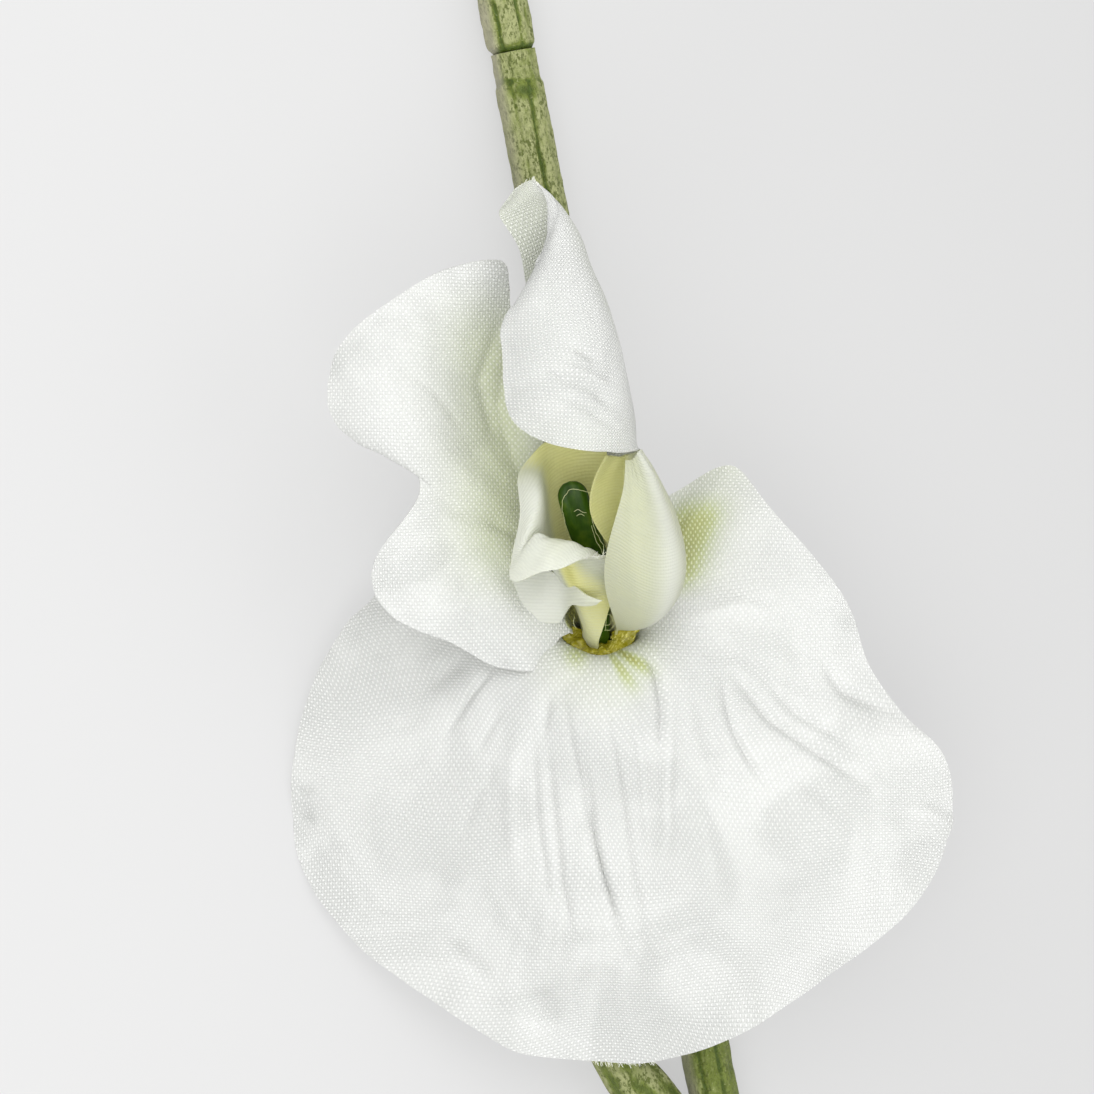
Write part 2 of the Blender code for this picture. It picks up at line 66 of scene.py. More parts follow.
def leaned(points):
    """Turns points about the main stem's axis and sets the stem on the surface."""
    offset = np.asarray(points, float).reshape(-1, 3) - STEM_START
    turned = offset * math.cos(-LEAN) + np.cross(STEM_RUN, offset) * math.sin(-LEAN)
    turned += np.multiply.outer(offset @ STEM_RUN, STEM_RUN) * (1 - math.cos(LEAN))
    return turned + STEM_START * (1, 1, 0) + (0, 0, STEM_RADIUS)


wire_low, wire_high = (np.array(corner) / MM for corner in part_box("stem_wire"))
wire_middle = leaned(on_stem((STEM_LOW + STEM_HIGH) / 2))[0]
PLACE = ((wire_low + wire_high) / 2 - wire_middle) * (1, 1, 0)


def laid_down(points):
    """From the flower's own directions, in millimetres, to the part's frame, in metres."""
    return (leaned(points) + PLACE) * MM


def add_node(tree, kind, settings, sockets):
    """Adds a node: its settings first, then the values or links of its sockets."""
    made = tree.nodes.new(kind)
    for name, value in (settings or {}).items():
        if name == "stops":
            ramp = made.color_ramp.elements
            while len(ramp) < len(value):
                ramp.new(0.5)
            for stop, (place, colour) in zip(ramp, value):
                stop.position = place
                stop.color = colour
        else:
            setattr(made, name, value)
    for name, value in (sockets or {}).items():
        value = getattr(value, "socket", value)
        if isinstance(value, bpy.types.NodeSocket):
            tree.links.new(value, made.inputs[name])
        else:
            made.inputs[name].default_value = value
    return made


class Value:
    """One value inside a material. Arithmetic on it adds the nodes that work it out."""

    def __init__(self, finish, socket):
        self.finish = finish
        self.socket = socket

    def __add__(self, other):
        return self.finish.maths("ADD", self, other)

    __radd__ = __add__

    def __sub__(self, other):
        return self.finish.maths("SUBTRACT", self, other)

    def __rsub__(self, other):
        return self.finish.maths("SUBTRACT", other, self)

    def __mul__(self, other):
        return self.finish.maths("MULTIPLY", self, other)

    __rmul__ = __mul__

    def __pow__(self, other):
        return self.finish.maths("POWER", self, other)

    def __neg__(self):
        return self * -1.0

    def __abs__(self):
        return self.finish.maths("ABSOLUTE", self)


class Finish:
    """A material under construction."""

    def __init__(self, name):
        self.material = bpy.data.materials.new(name)
        self.material.use_nodes = True
        self.material.node_tree.nodes.clear()

    def node(self, kind, settings=None, sockets=None, out=0):
        made = add_node(self.material.node_tree, kind, settings, sockets)
        return Value(self, made.outputs[out]) if made.outputs else None

    def maths(self, operation, *values):
        return self.node("ShaderNodeMath", {"operation": operation}, dict(enumerate(values)))

    def sine(self, value):
        return self.maths("SINE", value)

    def larger(self, first, second):
        return self.maths("MAXIMUM", first, second)

    def ease(self, value, low, high, to_low=0.0, to_high=1.0):
        """A smooth step from one level to another as the value goes from low to high."""
        return self.node("ShaderNodeMapRange", {"interpolation_type": "SMOOTHSTEP"}, {
            "Value": value, "From Min": low, "From Max": high, "To Min": to_low, "To Max": to_high})

    def blend(self, share, first, second, way="MIX"):
        """Mixes two colours."""
        return self.node("ShaderNodeMix", {"data_type": "RGBA", "blend_type": way},
                         {0: share, 6: first, 7: second}, out=2)

    def speckle(self, place, scale, detail=3.0, roughness=0.5, distortion=0.0):
        """Uneven noise, from 0 to 1."""
        return self.node("ShaderNodeTexNoise", None, {
            "Vector": place, "Scale": scale, "Detail": detail, "Roughness": roughness,
            "Distortion": distortion})

    def place(self):
        return self.node("ShaderNodeTexCoord", out=3)

    def lengthwise(self, place, across, along, turn=math.atan(-STEM_SLOPE)):
        """The place, squeezed across a direction and drawn out along it: the stem's, if not told."""
        return self.node("ShaderNodeMapping", {"vector_type": "TEXTURE"}, {
            "Vector": place, "Rotation": (0, 0, turn), "Scale": (across, along, across)})

    def principled(self, sockets):
        """The surface itself, as a Principled shader."""
        return self.node("ShaderNodeBsdfPrincipled", None, sockets)

    def relief(self, height, depth, under=None):
        """Turns a height from 0 to 1 into surface relief, with the depth in metres."""
        sockets = {"Strength": 1.0, "Distance": depth, "Height": height}
        if under is not None:
            sockets["Normal"] = under
        return self.node("ShaderNodeBump", None, sockets)

    def close(self, shader):
        self.node("ShaderNodeOutputMaterial", None, {"Surface": shader})
        return self.material


def drawn_steel():
    """Dull wire with fine darker lines along its length."""
    steel = Finish("drawn_steel")
    place = steel.place()
    lines = steel.speckle(steel.lengthwise(place, 0.11, 1.6), 900.0)
    spots = steel.speckle(place, 700.0)
    colour = steel.blend(lines * 0.6, WIRE_STEEL, (0.30, 0.29, 0.27, 1))
    return steel.close(steel.principled({
        "Base Color": colour, "Metallic": 0.9, "Roughness": 0.28 + spots * 0.2,
        "Normal": steel.relief(lines, 0.01 * MM)}))


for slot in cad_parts["stem_wire"].material_slots:
    slot.material = drawn_steel()

# ---------------------------------------------------------------------------------------------
# Main stem. Two lengths of green plastic moulded over the wire, the upper pushed onto the slim
# collar of the lower. The moulding has shallow flutes and rough bark, brushed with dusty paint.
# ---------------------------------------------------------------------------------------------
BORE = 0.68
JOINT_LOW = 42.3
JOINT_HIGH = 44.57
UPPER_START = 44.6
# Heights of two dark bands round the joint of the two lengths, which are painted shade.
JOINT_SHADE_LOW = 41.6
JOINT_SHADE_HIGH = 44.75
COLLAR = 1.73
STEM_SIDES = 72
STEM_STEP = 0.35
FLUTES = ((112, 7, 0.18), (66, 6, 0.30), (30, 10, 0.10), (160, 16, 0.12), (215, 14, 0.18), (290, 18, 0.16))


def ripple(seed, count, *axes):
    """Smooth uneven waves with a fixed seed, about -1 to 1, over the given coordinates."""
    draw = np.random.default_rng(seed)
    total = 0.0
    for _ in range(count):
        phase = draw.uniform(0, 2 * math.pi)
        wave = phase
        for axis, pace in axes:
            wave = wave + axis * pace * draw.normal(0, 1)
        total = total + np.sin(wave)
    return total / math.sqrt(count)


def smooth(value, low, high):
    """A smooth step from 0 to 1 as the value goes from low to high."""
    share = np.clip((np.asarray(value, float) - low) / (high - low), 0, 1)
    return share * share * (3 - 2 * share)


def bell(distance, width):
    """A smooth bump: 1 in the middle, and about a third at the given distance."""
    return np.exp(-(np.asarray(distance, float) / width) ** 2)


def quads(rows, columns, start=0, turned=False):
    """Faces of a net of points; a turned net faces the other way."""
    index = np.arange(rows * columns).reshape(rows, columns) + start
    corners = (index[:-1, :-1], index[:-1, 1:], index[1:, 1:], index[1:, :-1])
    if turned:
        corners = corners[::-1]
    return np.stack([corner.ravel() for corner in corners], axis=1)


def piece_from(name, points, faces, finish):
    """An object from points in the flower's own directions, with its faces turned outwards."""
    mesh = bpy.data.meshes.new(name)
    spots = laid_down(points)
    spots[:, 2] = np.maximum(spots[:, 2], 0)
    mesh.from_pydata(spots.tolist(), [], faces)
    mesh.update()
    mesh.calc_loop_triangles()
    corners = np.empty(len(mesh.loop_triangles) * 3, np.int32)
    mesh.loop_triangles.foreach_get("vertices", corners)
    a, b, c = np.asarray(points, float)[corners.reshape(-1, 3)].transpose(1, 0, 2)
    if np.einsum("ij,ij->i", a, np.cross(b, c)).sum() < 0:
        mesh.flip_normals()
    mesh.polygons.foreach_set("use_smooth", [True] * len(mesh.polygons))
    mesh.materials.append(finish)
    made = bpy.data.objects.new(name, mesh)
    bpy.context.scene.collection.objects.link(made)
    return made


def net_round(rings):
    """Faces that join closed rings of points one after another, seam and all."""
    count, sides = rings.shape[:2]
    index = np.arange(count * sides).reshape(count, sides)
    beside = np.roll(index, -1, axis=1)
    return np.stack([c.ravel() for c in (index[:-1], beside[:-1], beside[1:], index[1:])], axis=1)


def square_to(path):
    """Two directions square to a path at each of its points: sideways and up."""
    run = np.gradient(path, axis=0)
    run /= np.linalg.norm(run, axis=1, keepdims=True)
    side = np.cross(run, (0.0, 0.0, 1.0))
    side /= np.linalg.norm(side, axis=1, keepdims=True)
    return side, np.cross(side, run)


def rings_along(path, radius, angles):
    """Rings of points round a path, with the radius given for every point of every ring."""
    side, up = square_to(path)
    turn = np.cos(angles)[None, :, None] * side[:, None] + np.sin(angles)[None, :, None] * up[:, None]
    return path[:, None] + radius[:, :, None] * turn


def fluted(heights, angles, base):
    """The radius of the moulded stem: flutes that wander a little, and rough bark between."""
    high, turn = np.meshgrid(heights, angles, indexing="ij")
    radius = np.array(base)[:, None] * np.ones_like(high)
    for centre, width, depth in FLUTES:
        wander = 5 * np.sin(high / 6.3 + centre) + 3 * np.sin(high / 2.7 + 2 * centre)
        off = (np.degrees(turn) - centre - wander + 180) % 360 - 180
        radius -= depth * bell(off, width) * (0.75 + 0.25 * np.sin(high / 3.1 + centre))
    bark = ripple(11, 14, (high, 1.6), (np.cos(turn), 5.0), (np.sin(turn), 5.0))
    fine = ripple(12, 14, (high, 5.0), (np.cos(turn), 11.0), (np.sin(turn), 11.0))
    return radius + 0.035 * bark + 0.018 * fine


def sheath(heights, base):
    """A moulded tube round the wire, open at both ends where it was cut or joined."""
    angles = np.linspace(0, 2 * math.pi, STEM_SIDES, endpoint=False)
    path = np.array([on_stem(height) for height in heights])
    outer = rings_along(path, fluted(heights, angles, base), angles)
    inner = rings_along(path, np.full((len(path), STEM_SIDES), BORE), angles)
    rings = np.concatenate([outer, inner[::-1], outer[:1]])
    last = (len(rings) - 1) * STEM_SIDES
    return rings[:-1].reshape(-1, 3), (net_round(rings) % last).tolist()


def dusty_green(name, bark, dust, groove, pit):
    """Green moulded plastic under a dry brushed coat: dust on the high parts, green in the low."""
    paint = Finish(name)
    place = paint.place()
    along = paint.lengthwise(place, 0.4, 1.3)
    patches = paint.speckle(place, 620.0, 4.0, 0.65, 0.6)
    grain = paint.speckle(along, 1100.0, 4.0, 0.7)
    fine = paint.speckle(place, 3600.0, 3.0, 0.7)
    pits = paint.speckle(paint.lengthwise(place, 0.7, 1.3), 3000.0, 3.0, 0.65)
    worn = paint.node("ShaderNodeAttribute", {"attribute_name": "worn"}, out=2)
    cover = paint.ease(patches + grain * 0.9 - worn * 0.8, 0.52, 1.02)
    colour = paint.blend(cover, bark, dust)
    # Deep green where the coat gives way: in the flutes, and as painted shade in the bands at the stem's
    # joint.
    colour = paint.blend(paint.ease(worn, 0.35, 1.0), colour, groove)
    colour = paint.blend(paint.ease(pits + patches * 0.6, 0.80, 0.95) * 0.85, colour, pit)
    flecks = paint.ease(fine, 0.60, 0.74)
    colour = paint.blend(flecks * 0.55, colour, (dust[0] * 1.5, dust[1] * 1.42, dust[2] * 1.6, 1))
    # A pale taupe painted down the stem's left side.
    taupe = paint.node("ShaderNodeAttribute", {"attribute_name": "flank"}, out=2)
    colour = paint.blend(taupe * 0.75, colour, (0.37, 0.35, 0.255, 1))
    height = grain * 0.6 + fine * 0.5 - paint.ease(pits, 0.45, 0.65) * 0.25
    return paint.close(paint.principled({
        "Base Color": colour, "Roughness": 0.5 + cover * 0.32,
        "Specular IOR Level": 0.4, "Normal": paint.relief(height, 0.22 * MM)}))


def mark(mesh, name, values):
    """Stores a value at each point of a mesh, for a material to read."""
    layer = mesh.attributes.new(name, "FLOAT", "POINT")
    layer.data.foreach_set("value", values.astype(np.float32))


def mark_wear_and_shade(made, amount, flank=0.0):
    """How far the dusty coat gives way to deep green at each point, with painted shade at the stem's joint,
    and how much pale taupe shows, from 0 to 1.
    """
    mark(made.data, "worn", np.clip(amount, 0, 1))
    mark(made.data, "flank", np.clip(np.broadcast_to(flank, amount.shape), 0, 1))


def across_stem(points):
    """How far points are to the right of the main stem's axis, in radii."""
    return (points - STEM_START) @ np.cross(STEM_RUN, (0, 0, 1.0)) / STEM_RADIUS


def taupe_side(points):
    """The left side of the main stem, where a pale taupe is painted along its length."""
    return smooth(-across_stem(points), 0.45, 0.8) * (0.75 + 0.25 * ripple(13, 8, (points[:, 1], 0.8)))


def stem_wear_and_shade(points):
    """More green in the flutes and low down, and two dark bands of painted shade round the front of the
    joint.
    """
    offset = points - STEM_START
    reach = np.linalg.norm(offset - np.multiply.outer(offset @ STEM_RUN, STEM_RUN), axis=1)
    height = points[:, 1]
    grooves = 1.1 * smooth(STEM_RADIUS - reach, 0.06, 0.22)
    # Painted shade: dark bands round the front of the joint.
    joint_shade = 0.95 * bell(height - JOINT_SHADE_LOW, 0.55) + 0.9 * bell(height - JOINT_SHADE_HIGH, 0.35)
    front = (1 - taupe_side(points)) * bell(across_stem(points) - 0.2, 0.5)
    return grooves + 0.45 * smooth(-height, 20, 34) + front * joint_shade


stem_paint = dusty_green("dusty_stem_green", (0.130, 0.168, 0.020, 1), (0.305, 0.325, 0.145, 1),
                         (0.048, 0.082, 0.002, 1), (0.070, 0.095, 0.008, 1))

lower_heights = np.unique(np.concatenate([
    np.arange(STEM_LOW, JOINT_LOW - 0.5, STEM_STEP), np.arange(JOINT_LOW - 0.5, JOINT_HIGH, 0.1),
    [JOINT_HIGH]]))
lower_base = COLLAR + (STEM_RADIUS - COLLAR) * (1 - smooth(lower_heights, JOINT_LOW - 0.45, JOINT_LOW))
lower_base = lower_base + 0.22 * bell(lower_heights + 43.5, 2.2)
points, faces = sheath(lower_heights, lower_base)
lower_piece = piece_from("stem_sheath_lower", points, faces, stem_paint)
on_collar = smooth(points[:, 1], JOINT_LOW, JOINT_LOW + 0.3)
mark_wear_and_shade(lower_piece, stem_wear_and_shade(points) * (1 - on_collar) + 0.15 * on_collar, taupe_side(points))

upper_heights = np.arange(UPPER_START, STEM_HIGH + 0.05, 0.2)
upper_base = STEM_RADIUS - 0.35 * bell(upper_heights - UPPER_START, 0.3)
points, faces = sheath(upper_heights, upper_base)
upper_piece = piece_from("stem_sheath_upper", points, faces, stem_paint)
mark_wear_and_shade(upper_piece, stem_wear_and_shade(points), taupe_side(points))

for made, node in ((lower_piece, "stem_lower"), (upper_piece, "stem_upper")):
    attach(made, "root")

# ---------------------------------------------------------------------------------------------
# Branch collar and pedicel. The stem swells where the flower's stalk leaves it. The stalk is the
# same plastic over a finer wire, bent up under the flower, with fine ridges along it.
# ---------------------------------------------------------------------------------------------
BRANCH_PATH = ((9.75, -43.9, -10.15), (8.9, -42.5, -10.05), (7.75, -40.6, -9.75), (6.95, -39.3, -9.45),
               (6.20, -38.1, -9.15), (5.50, -37.02, -8.87))
BRANCH_RADII = (0.5, 1.15, 1.7, 2.0, 2.12, 2.12)
STALK_PATH = ((5.42, -36.9, -8.84), (3.15, -34.0, -8.3), (1.5, -31.7, -7.9), (-0.4, -25.0, -7.6),
              (-1.1, -16.0, -7.5), (-0.95, -9.5, -8.2), (-0.5, -6.2, -8.3), (-0.1, -4.3, -7.4),
              (0.0, -3.62, -6.27))
STALK_SIDES = 56


def natural_cubic(knots, values, wanted):
    """Values of the natural cubic through the knots."""
    count = len(knots)
    gap = np.diff(knots)
    system = np.eye(count)
    right = np.zeros((count, values.shape[1]))
    for i in range(1, count - 1):
        system[i, i - 1:i + 2] = gap[i - 1], 2 * (gap[i - 1] + gap[i]), gap[i]
        rise = (values[i + 1] - values[i]) / gap[i] - (values[i] - values[i - 1]) / gap[i - 1]
        right[i] = 6 * rise
    bend = np.linalg.solve(system, right)
    place = np.clip(np.searchsorted(knots, wanted) - 1, 0, count - 2)
    h = gap[place][:, None]
    left = (knots[place + 1] - wanted)[:, None]
    ahead = (wanted - knots[place])[:, None]
    curve = (bend[place] * left**3 + bend[place + 1] * ahead**3) / (6 * h)
    curve += (values[place] / h - bend[place] * h / 6) * left
    return curve + (values[place + 1] / h - bend[place + 1] * h / 6) * ahead


def steps_between(points):
    """The lengths between points that follow one another."""
    return np.linalg.norm(np.diff(points, axis=0), axis=1)


def summed(steps):
    """How far along a line each point is, starting at 0."""
    return np.concatenate([[0], np.cumsum(steps)])


def along(points, count):
    """The smooth curve through the points, as evenly spaced points."""
    points = np.asarray(points, float)
    knots = summed(steps_between(points) ** 0.5)
    fine = natural_cubic(knots, points, np.linspace(0, knots[-1], 600))
    run = summed(steps_between(fine))
    wanted = np.linspace(0, run[-1], count)
    return np.stack([np.interp(wanted, run, fine[:, k]) for k in range(3)], axis=1)


def ridged_bar(path, radii, seed):
    """A closed bar with fine ridges along it, as rings and the ridges' depth."""
    angles = np.linspace(0, 2 * math.pi, STALK_SIDES, endpoint=False)
    share, turn = np.meshgrid(np.linspace(0, 1, len(path)), angles, indexing="ij")
    length = share * steps_between(path).sum()
    ridges = np.sin(7 * turn + 0.5 * np.sin(length / 4)) * 0.05
    ridges += 0.04 * ripple(seed, 12, (length, 1.4), (np.cos(turn), 4.5), (np.sin(turn), 4.5))
    rings = rings_along(path, np.asarray(radii)[:, None] + ridges, angles)
    return rings, ridges


def capped(rings):
    """Points and faces of a tube of rings, with a flat fan over each end."""
    count, sides = rings.shape[:2]
    points = np.concatenate([rings.reshape(-1, 3), [rings[0].mean(axis=0), rings[-1].mean(axis=0)]])
    around = np.arange(sides)
    beside = np.roll(around, -1)
    middle = np.full(sides, count * sides)
    last = (count - 1) * sides
    start = np.stack([beside, around, middle], axis=1)
    end = np.stack([around + last, beside + last, middle + 1], axis=1)
    return points, net_round(rings).tolist() + start.tolist() + end.tolist()


branch_radii = np.interp(np.linspace(0, 1, 30), np.linspace(0, 1, 6), BRANCH_RADII)
rings, ridges = ridged_bar(along(BRANCH_PATH, 30), branch_radii, 21)
branch_piece = piece_from("branch_collar", *capped(rings), stem_paint)
mark_wear_and_shade(branch_piece, np.append(0.3 - ridges.ravel() * 7, [0.2, 0.2]))
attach(branch_piece, "root")
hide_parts("stem_lower")
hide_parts("stem_upper")

stalk_path = along(STALK_PATH, 170)
stalk_share = np.linspace(0, 1, len(stalk_path))
stalk_radii = 2.12 - 0.6 * np.clip((stalk_share - 0.05) / 0.8, 0, 1) + 0.1 * bell(stalk_share - 0.985, 0.012)
rings, ridges = ridged_bar(stalk_path, stalk_radii, 22)
stalk_piece = piece_from("flower_stalk", *capped(rings), stem_paint)
mark_wear_and_shade(stalk_piece, np.append(0.3 - ridges.ravel() * 7, [0.2, 0.2]))
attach(stalk_piece, "root")
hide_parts("pedicel")

# ---------------------------------------------------------------------------------------------
# Calyx. A small green cup moulded in one piece with five low pointed lobes and a rib up each.
# It is threaded on the stalk behind the petals, and their feet are glued inside it.
# ---------------------------------------------------------------------------------------------
CUP_TILT = math.radians(30.0)
CUP_AXIS = np.array([0.0, math.sin(CUP_TILT), math.cos(CUP_TILT)])
CUP_UP = np.array([0.0, math.cos(CUP_TILT), -math.sin(CUP_TILT)])
CUP_SIDE = np.array([1.0, 0.0, 0.0])
CUP_LOBES = 5
CUP_PROFILE = (  # radius, height, how far the lobes lift it
    (0.0, -7.0, 0.0), (0.9, -7.0, 0.0), (1.5, -6.97, 0.0), (1.95, -6.85, 0.0), (2.5, -6.5, 0.0),
    (3.05, -5.8, 0.0), (3.5, -4.9, 0.0), (3.85, -3.8, 0.0), (4.08, -2.6, 0.1), (4.22, -1.4, 0.3),
    (4.28, -0.5, 0.7), (4.3, 0.0, 1.0), (4.18, 0.08, 1.02), (3.85, 0.05, 1.0), (3.72, -0.4, 0.8),
    (3.66, -1.4, 0.3), (3.6, -3.0, 0.0), (3.2, -4.4, 0.0), (2.2, -5.2, 0.0), (0.0, -5.4, 0.0))


def ring_point(angle, radius, height):
    """A point round the cup's axis; the angle runs from the right towards the wings."""
    turn = np.radians(angle)
    across = np.multiply.outer(np.cos(turn), CUP_SIDE) + np.multiply.outer(np.sin(turn), CUP_UP)
    return across * np.asarray(radius)[..., None] + np.multiply.outer(height, CUP_AXIS)


def cup_rings():
    """Rings of the cup from the foot up its outside, over the lip and down its inside."""
    angles = np.linspace(0, 360, 120, endpoint=False)
    wave = np.abs(np.sin(np.radians(angles * CUP_LOBES / 2 + 45)))
    lobe = wave ** 1.4
    rings = []
    for k, (radius, height, lift) in enumerate(CUP_PROFILE):
        outside = 1.0 if 3 <= k <= 11 else 0.0
        rib = outside * 0.10 * (bell(wave - 1.0, 0.035) - 0.5 * bell(wave, 0.25))
        rough = outside * 0.02 * ripple(31, 10, (np.radians(angles), 9.0), (height, 3.0))
        reach = np.maximum(radius + (rib + rough) * (radius > 0), 0)
        rings.append(ring_point(angles, reach, height + lift * 0.9 * lobe))
    return np.array(rings)


cup = cup_rings()
cup_piece = piece_from("calyx_cup", cup.reshape(-1, 3), net_round(cup).tolist(), stem_paint)
weld = cup_piece.modifiers.new("close_poles", "WELD")
weld.merge_threshold = 0.01 * MM
lips = cup_piece.modifiers.new("round_lips", "SUBSURF")
lips.levels = 1
lips.render_levels = 1
mark_wear_and_shade(cup_piece, np.full(cup[..., 0].size, 0.35))
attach(cup_piece, "root")
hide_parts("calyx")

# ---------------------------------------------------------------------------------------------
# Flower core. The peg the petals are threaded on, moulded in dark green plastic. It ends in a
# flat rounded tongue between the keels, with a thin film of glue that makes it shine.
# ---------------------------------------------------------------------------------------------
CORE_PATH = ((0.0, -2.2, -3.81), (0.0, -0.5, -0.87), (0.0, 0.6, 1.04), (0.0, 1.5, 1.9), (-0.1, 3.6, 2.8),
             (-0.8, 7.0, 3.6), (-1.75, 9.8, 4.9), (-2.3, 11.9, 5.8))
PEG_RADIUS = 0.75
TONGUE_WIDTH = 1.15
TONGUE_THICK = 0.5


def core_rings():
    """Rings of the round peg as it grows into the flat tongue, grooved along its front."""
    path = along(CORE_PATH, 120)
    share = np.linspace(0, 1, len(path))
    angles = np.linspace(0, 2 * math.pi, 48, endpoint=False)
    grown = smooth(share, 0.38, 0.6)
    wide = PEG_RADIUS + (TONGUE_WIDTH - PEG_RADIUS) * grown
    thick = PEG_RADIUS + (TONGUE_THICK - PEG_RADIUS) * grown
    tip = np.sqrt(np.clip(1 - np.clip((share - 0.93) / 0.07, 0, 1) ** 2, 0.0, 1))
    side, up = square_to(path)
    cosine = np.sign(np.cos(angles)) * np.abs(np.cos(angles)) ** 0.85
    sine = np.sign(np.sin(angles)) * np.abs(np.sin(angles)) ** 0.85
    groove = 1 - 0.22 * bell(np.cos(angles), 0.3)[None] * grown[:, None] * (np.sin(angles) > 0)
    rings = path[:, None] + (wide * tip)[:, None, None] * cosine[None, :, None] * side[:, None]
    return rings + (thick * tip)[:, None, None] * (sine[None] * groove)[:, :, None] * up[:, None]


def wet_green():
    """Deep green plastic, streaked lighter along its length, under a clear wet-looking film."""
    skin = Finish("wet_dark_green")
    place = skin.place()
    streaks = skin.speckle(skin.lengthwise(place, 0.25, 1.0), 420.0)
    spots = skin.speckle(place, 1500.0, 4.0)
    greens = ((0.30, (0.010, 0.030, 0.0003, 1)), (0.52, (0.021, 0.055, 0.0008, 1)),
              (0.72, (0.060, 0.100, 0.004, 1)))
    colour = skin.node("ShaderNodeValToRGB", {"stops": greens}, {"Fac": streaks * 0.7 + spots * 0.3})
    return skin.close(skin.principled({
        "Base Color": colour, "Roughness": 0.34 + spots * 0.2, "Coat Weight": 0.05, "Coat Roughness": 0.12,
        "Specular IOR Level": 0.15, "Normal": skin.relief(spots * 0.4 + streaks, 0.06 * MM)}))


core_piece = piece_from("core_tongue", *capped(core_rings()), wet_green())
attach(core_piece, "root")
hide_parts("flower_core")

# ---------------------------------------------------------------------------------------------
# Keel petals. Two small cupped petals of thin white polyester cloth, starched, pressed to shape
# over a hot die and dyed yellow green from the foot. Their feet are glued into the calyx.
# ---------------------------------------------------------------------------------------------
CLOTH = 0.2
CLAW_IN = -2.5  # where on the cup's axis a petal's narrow foot, its claw, ends inside the cup
CLAW_OUT = 0.6
KEEL_FOOT = 1.25
KEEL_NECK = (1.3, 1.95)
WARP_PITCH = 0.20
WEFT_PITCH = 0.25

LEFT_KEEL = (  # angle of the foot, then the points its rib passes through
    (79, (0.3, 5.0, 1.3), (0.6, 9.5, 2.1), (0.5, 14.2, 3.2), (0.5, 14.5, 3.3)),
    (105, (-0.8, 5.0, 1.1), (-1.3, 9.6, 2.0), (-1.8, 14.0, 3.3), (-1.9, 15.0, 3.6)),
    (135, (-1.9, 4.8, 1.3), (-3.0, 9.5, 2.7), (-3.7, 14.0, 4.3), (-3.8, 15.0, 4.8)),
    (165, (-2.4, 4.4, 2.1), (-4.0, 8.8, 4.0), (-4.6, 12.2, 6.0), (-6.0, 12.4, 5.6)),
    (192, (-2.4, 3.8, 3.0), (-4.3, 7.2, 5.2), (-4.9, 9.6, 6.8), (-6.0, 9.6, 6.3)),
    (212, (-2.1, 3.2, 3.5), (-3.7, 6.2, 5.9), (-4.6, 8.0, 7.2), (-6.7, 4.6, 6.8)),
    (230, (-1.5, 2.6, 3.9), (-2.6, 5.6, 6.0), (-3.3, 7.5, 7.6), (-4.7, 5.0, 7.9)),
    (248, (-0.9, 2.3, 4.0), (-1.6, 5.2, 5.9), (-2.0, 7.3, 7.5), (-2.9, 5.4, 8.0)),
    (257, (-0.1, 2.5, 4.0), (-0.3, 4.9, 5.6), (-0.9, 6.9, 7.0), (-1.3, 6.1, 7.6)),
    (265, (0.85, 3.1, 4.0), (1.0, 4.6, 4.9), (0.5, 6.0, 6.1), (0.45, 6.4, 6.4)),
)
RIGHT_KEEL = (
    (54, (1.7, 3.2, 1.9), (0.9, 6.8, 5.2), (-0.7, 9.6, 6.9), (-0.3, 12.3, 7.6), (0.5, 13.8, 8.0)),
    (46, (2.3, 3.0, 1.9), (2.6, 6.6, 3.8), (1.7, 9.8, 5.4), (1.5, 12.4, 6.4), (1.6, 13.8, 7.0)),
    (34, (3.3, 2.5, 2.4), (4.9, 5.6, 3.9), (4.3, 9.8, 5.2), (3.3, 12.4, 6.4), (2.6, 14.1, 7.4)),
    (20, (4.1, 1.9, 3.6), (6.3, 5.0, 5.6), (5.5, 9.6, 6.7), (4.1, 12.4, 7.6), (3.0, 14.2, 8.2)),
    (6, (3.8, 1.2, 4.8), (5.3, 4.4, 7.8), (4.8, 9.2, 8.8), (3.8, 12.2, 9.2), (2.8, 14.1, 9.1)),
    (-6, (2.5, 0.95, 4.9), (3.0, 4.2, 8.4), (3.1, 9.0, 9.8), (2.8, 12.0, 10.0), (2.5, 13.6, 9.8)),
    (-18, (1.15, 1.5, 4.4), (0.35, 4.4, 7.2), (1.0, 8.6, 9.4), (1.8, 11.8, 10.0), (1.9, 13.4, 9.8)),
)


def cut_net(lines, across, length):
    """The middle surface of a petal: smooth through every line, and from line to line."""
    lines = np.array([along(line, length) for line in lines])
    knots = summed((steps_between(lines[:, length // 2]) + steps_between(lines[:, -1])) ** 0.5)
    fine = natural_cubic(knots, lines.reshape(len(lines), -1), np.linspace(0, knots[-1], across))
    return fine.reshape(across, length, 3)


def facing(grid):
    """The direction square to a surface at each of its points."""
    normal = np.cross(np.gradient(grid, axis=0), np.gradient(grid, axis=1))
    return normal / np.linalg.norm(normal, axis=2, keepdims=True)


def shares(grid):
    """How far each point is across a petal, and from its foot to its edge, from 0 to 1."""
    return np.meshgrid(np.linspace(0, 1, grid.shape[0]), np.linspace(0, 1, grid.shape[1]), indexing="ij")


def run_lengths(grid):
    """Distances in millimetres over the cloth: across it at half its length, and along each rib."""
    over = summed(steps_between(grid[:, grid.shape[1] // 2]))
    down = np.linalg.norm(np.diff(grid, axis=1), axis=2).cumsum(axis=1)
    down = np.concatenate([np.zeros((grid.shape[0], 1)), down], axis=1)
    return np.stack([np.broadcast_to(over[:, None], down.shape), down], axis=2)


def crinkle(seed, count, net, across, down):
    """Uneven waves over a petal, at a pace of their own in each of its two directions."""
    return ripple(seed, count, (net[..., 0], across), (net[..., 1], down))


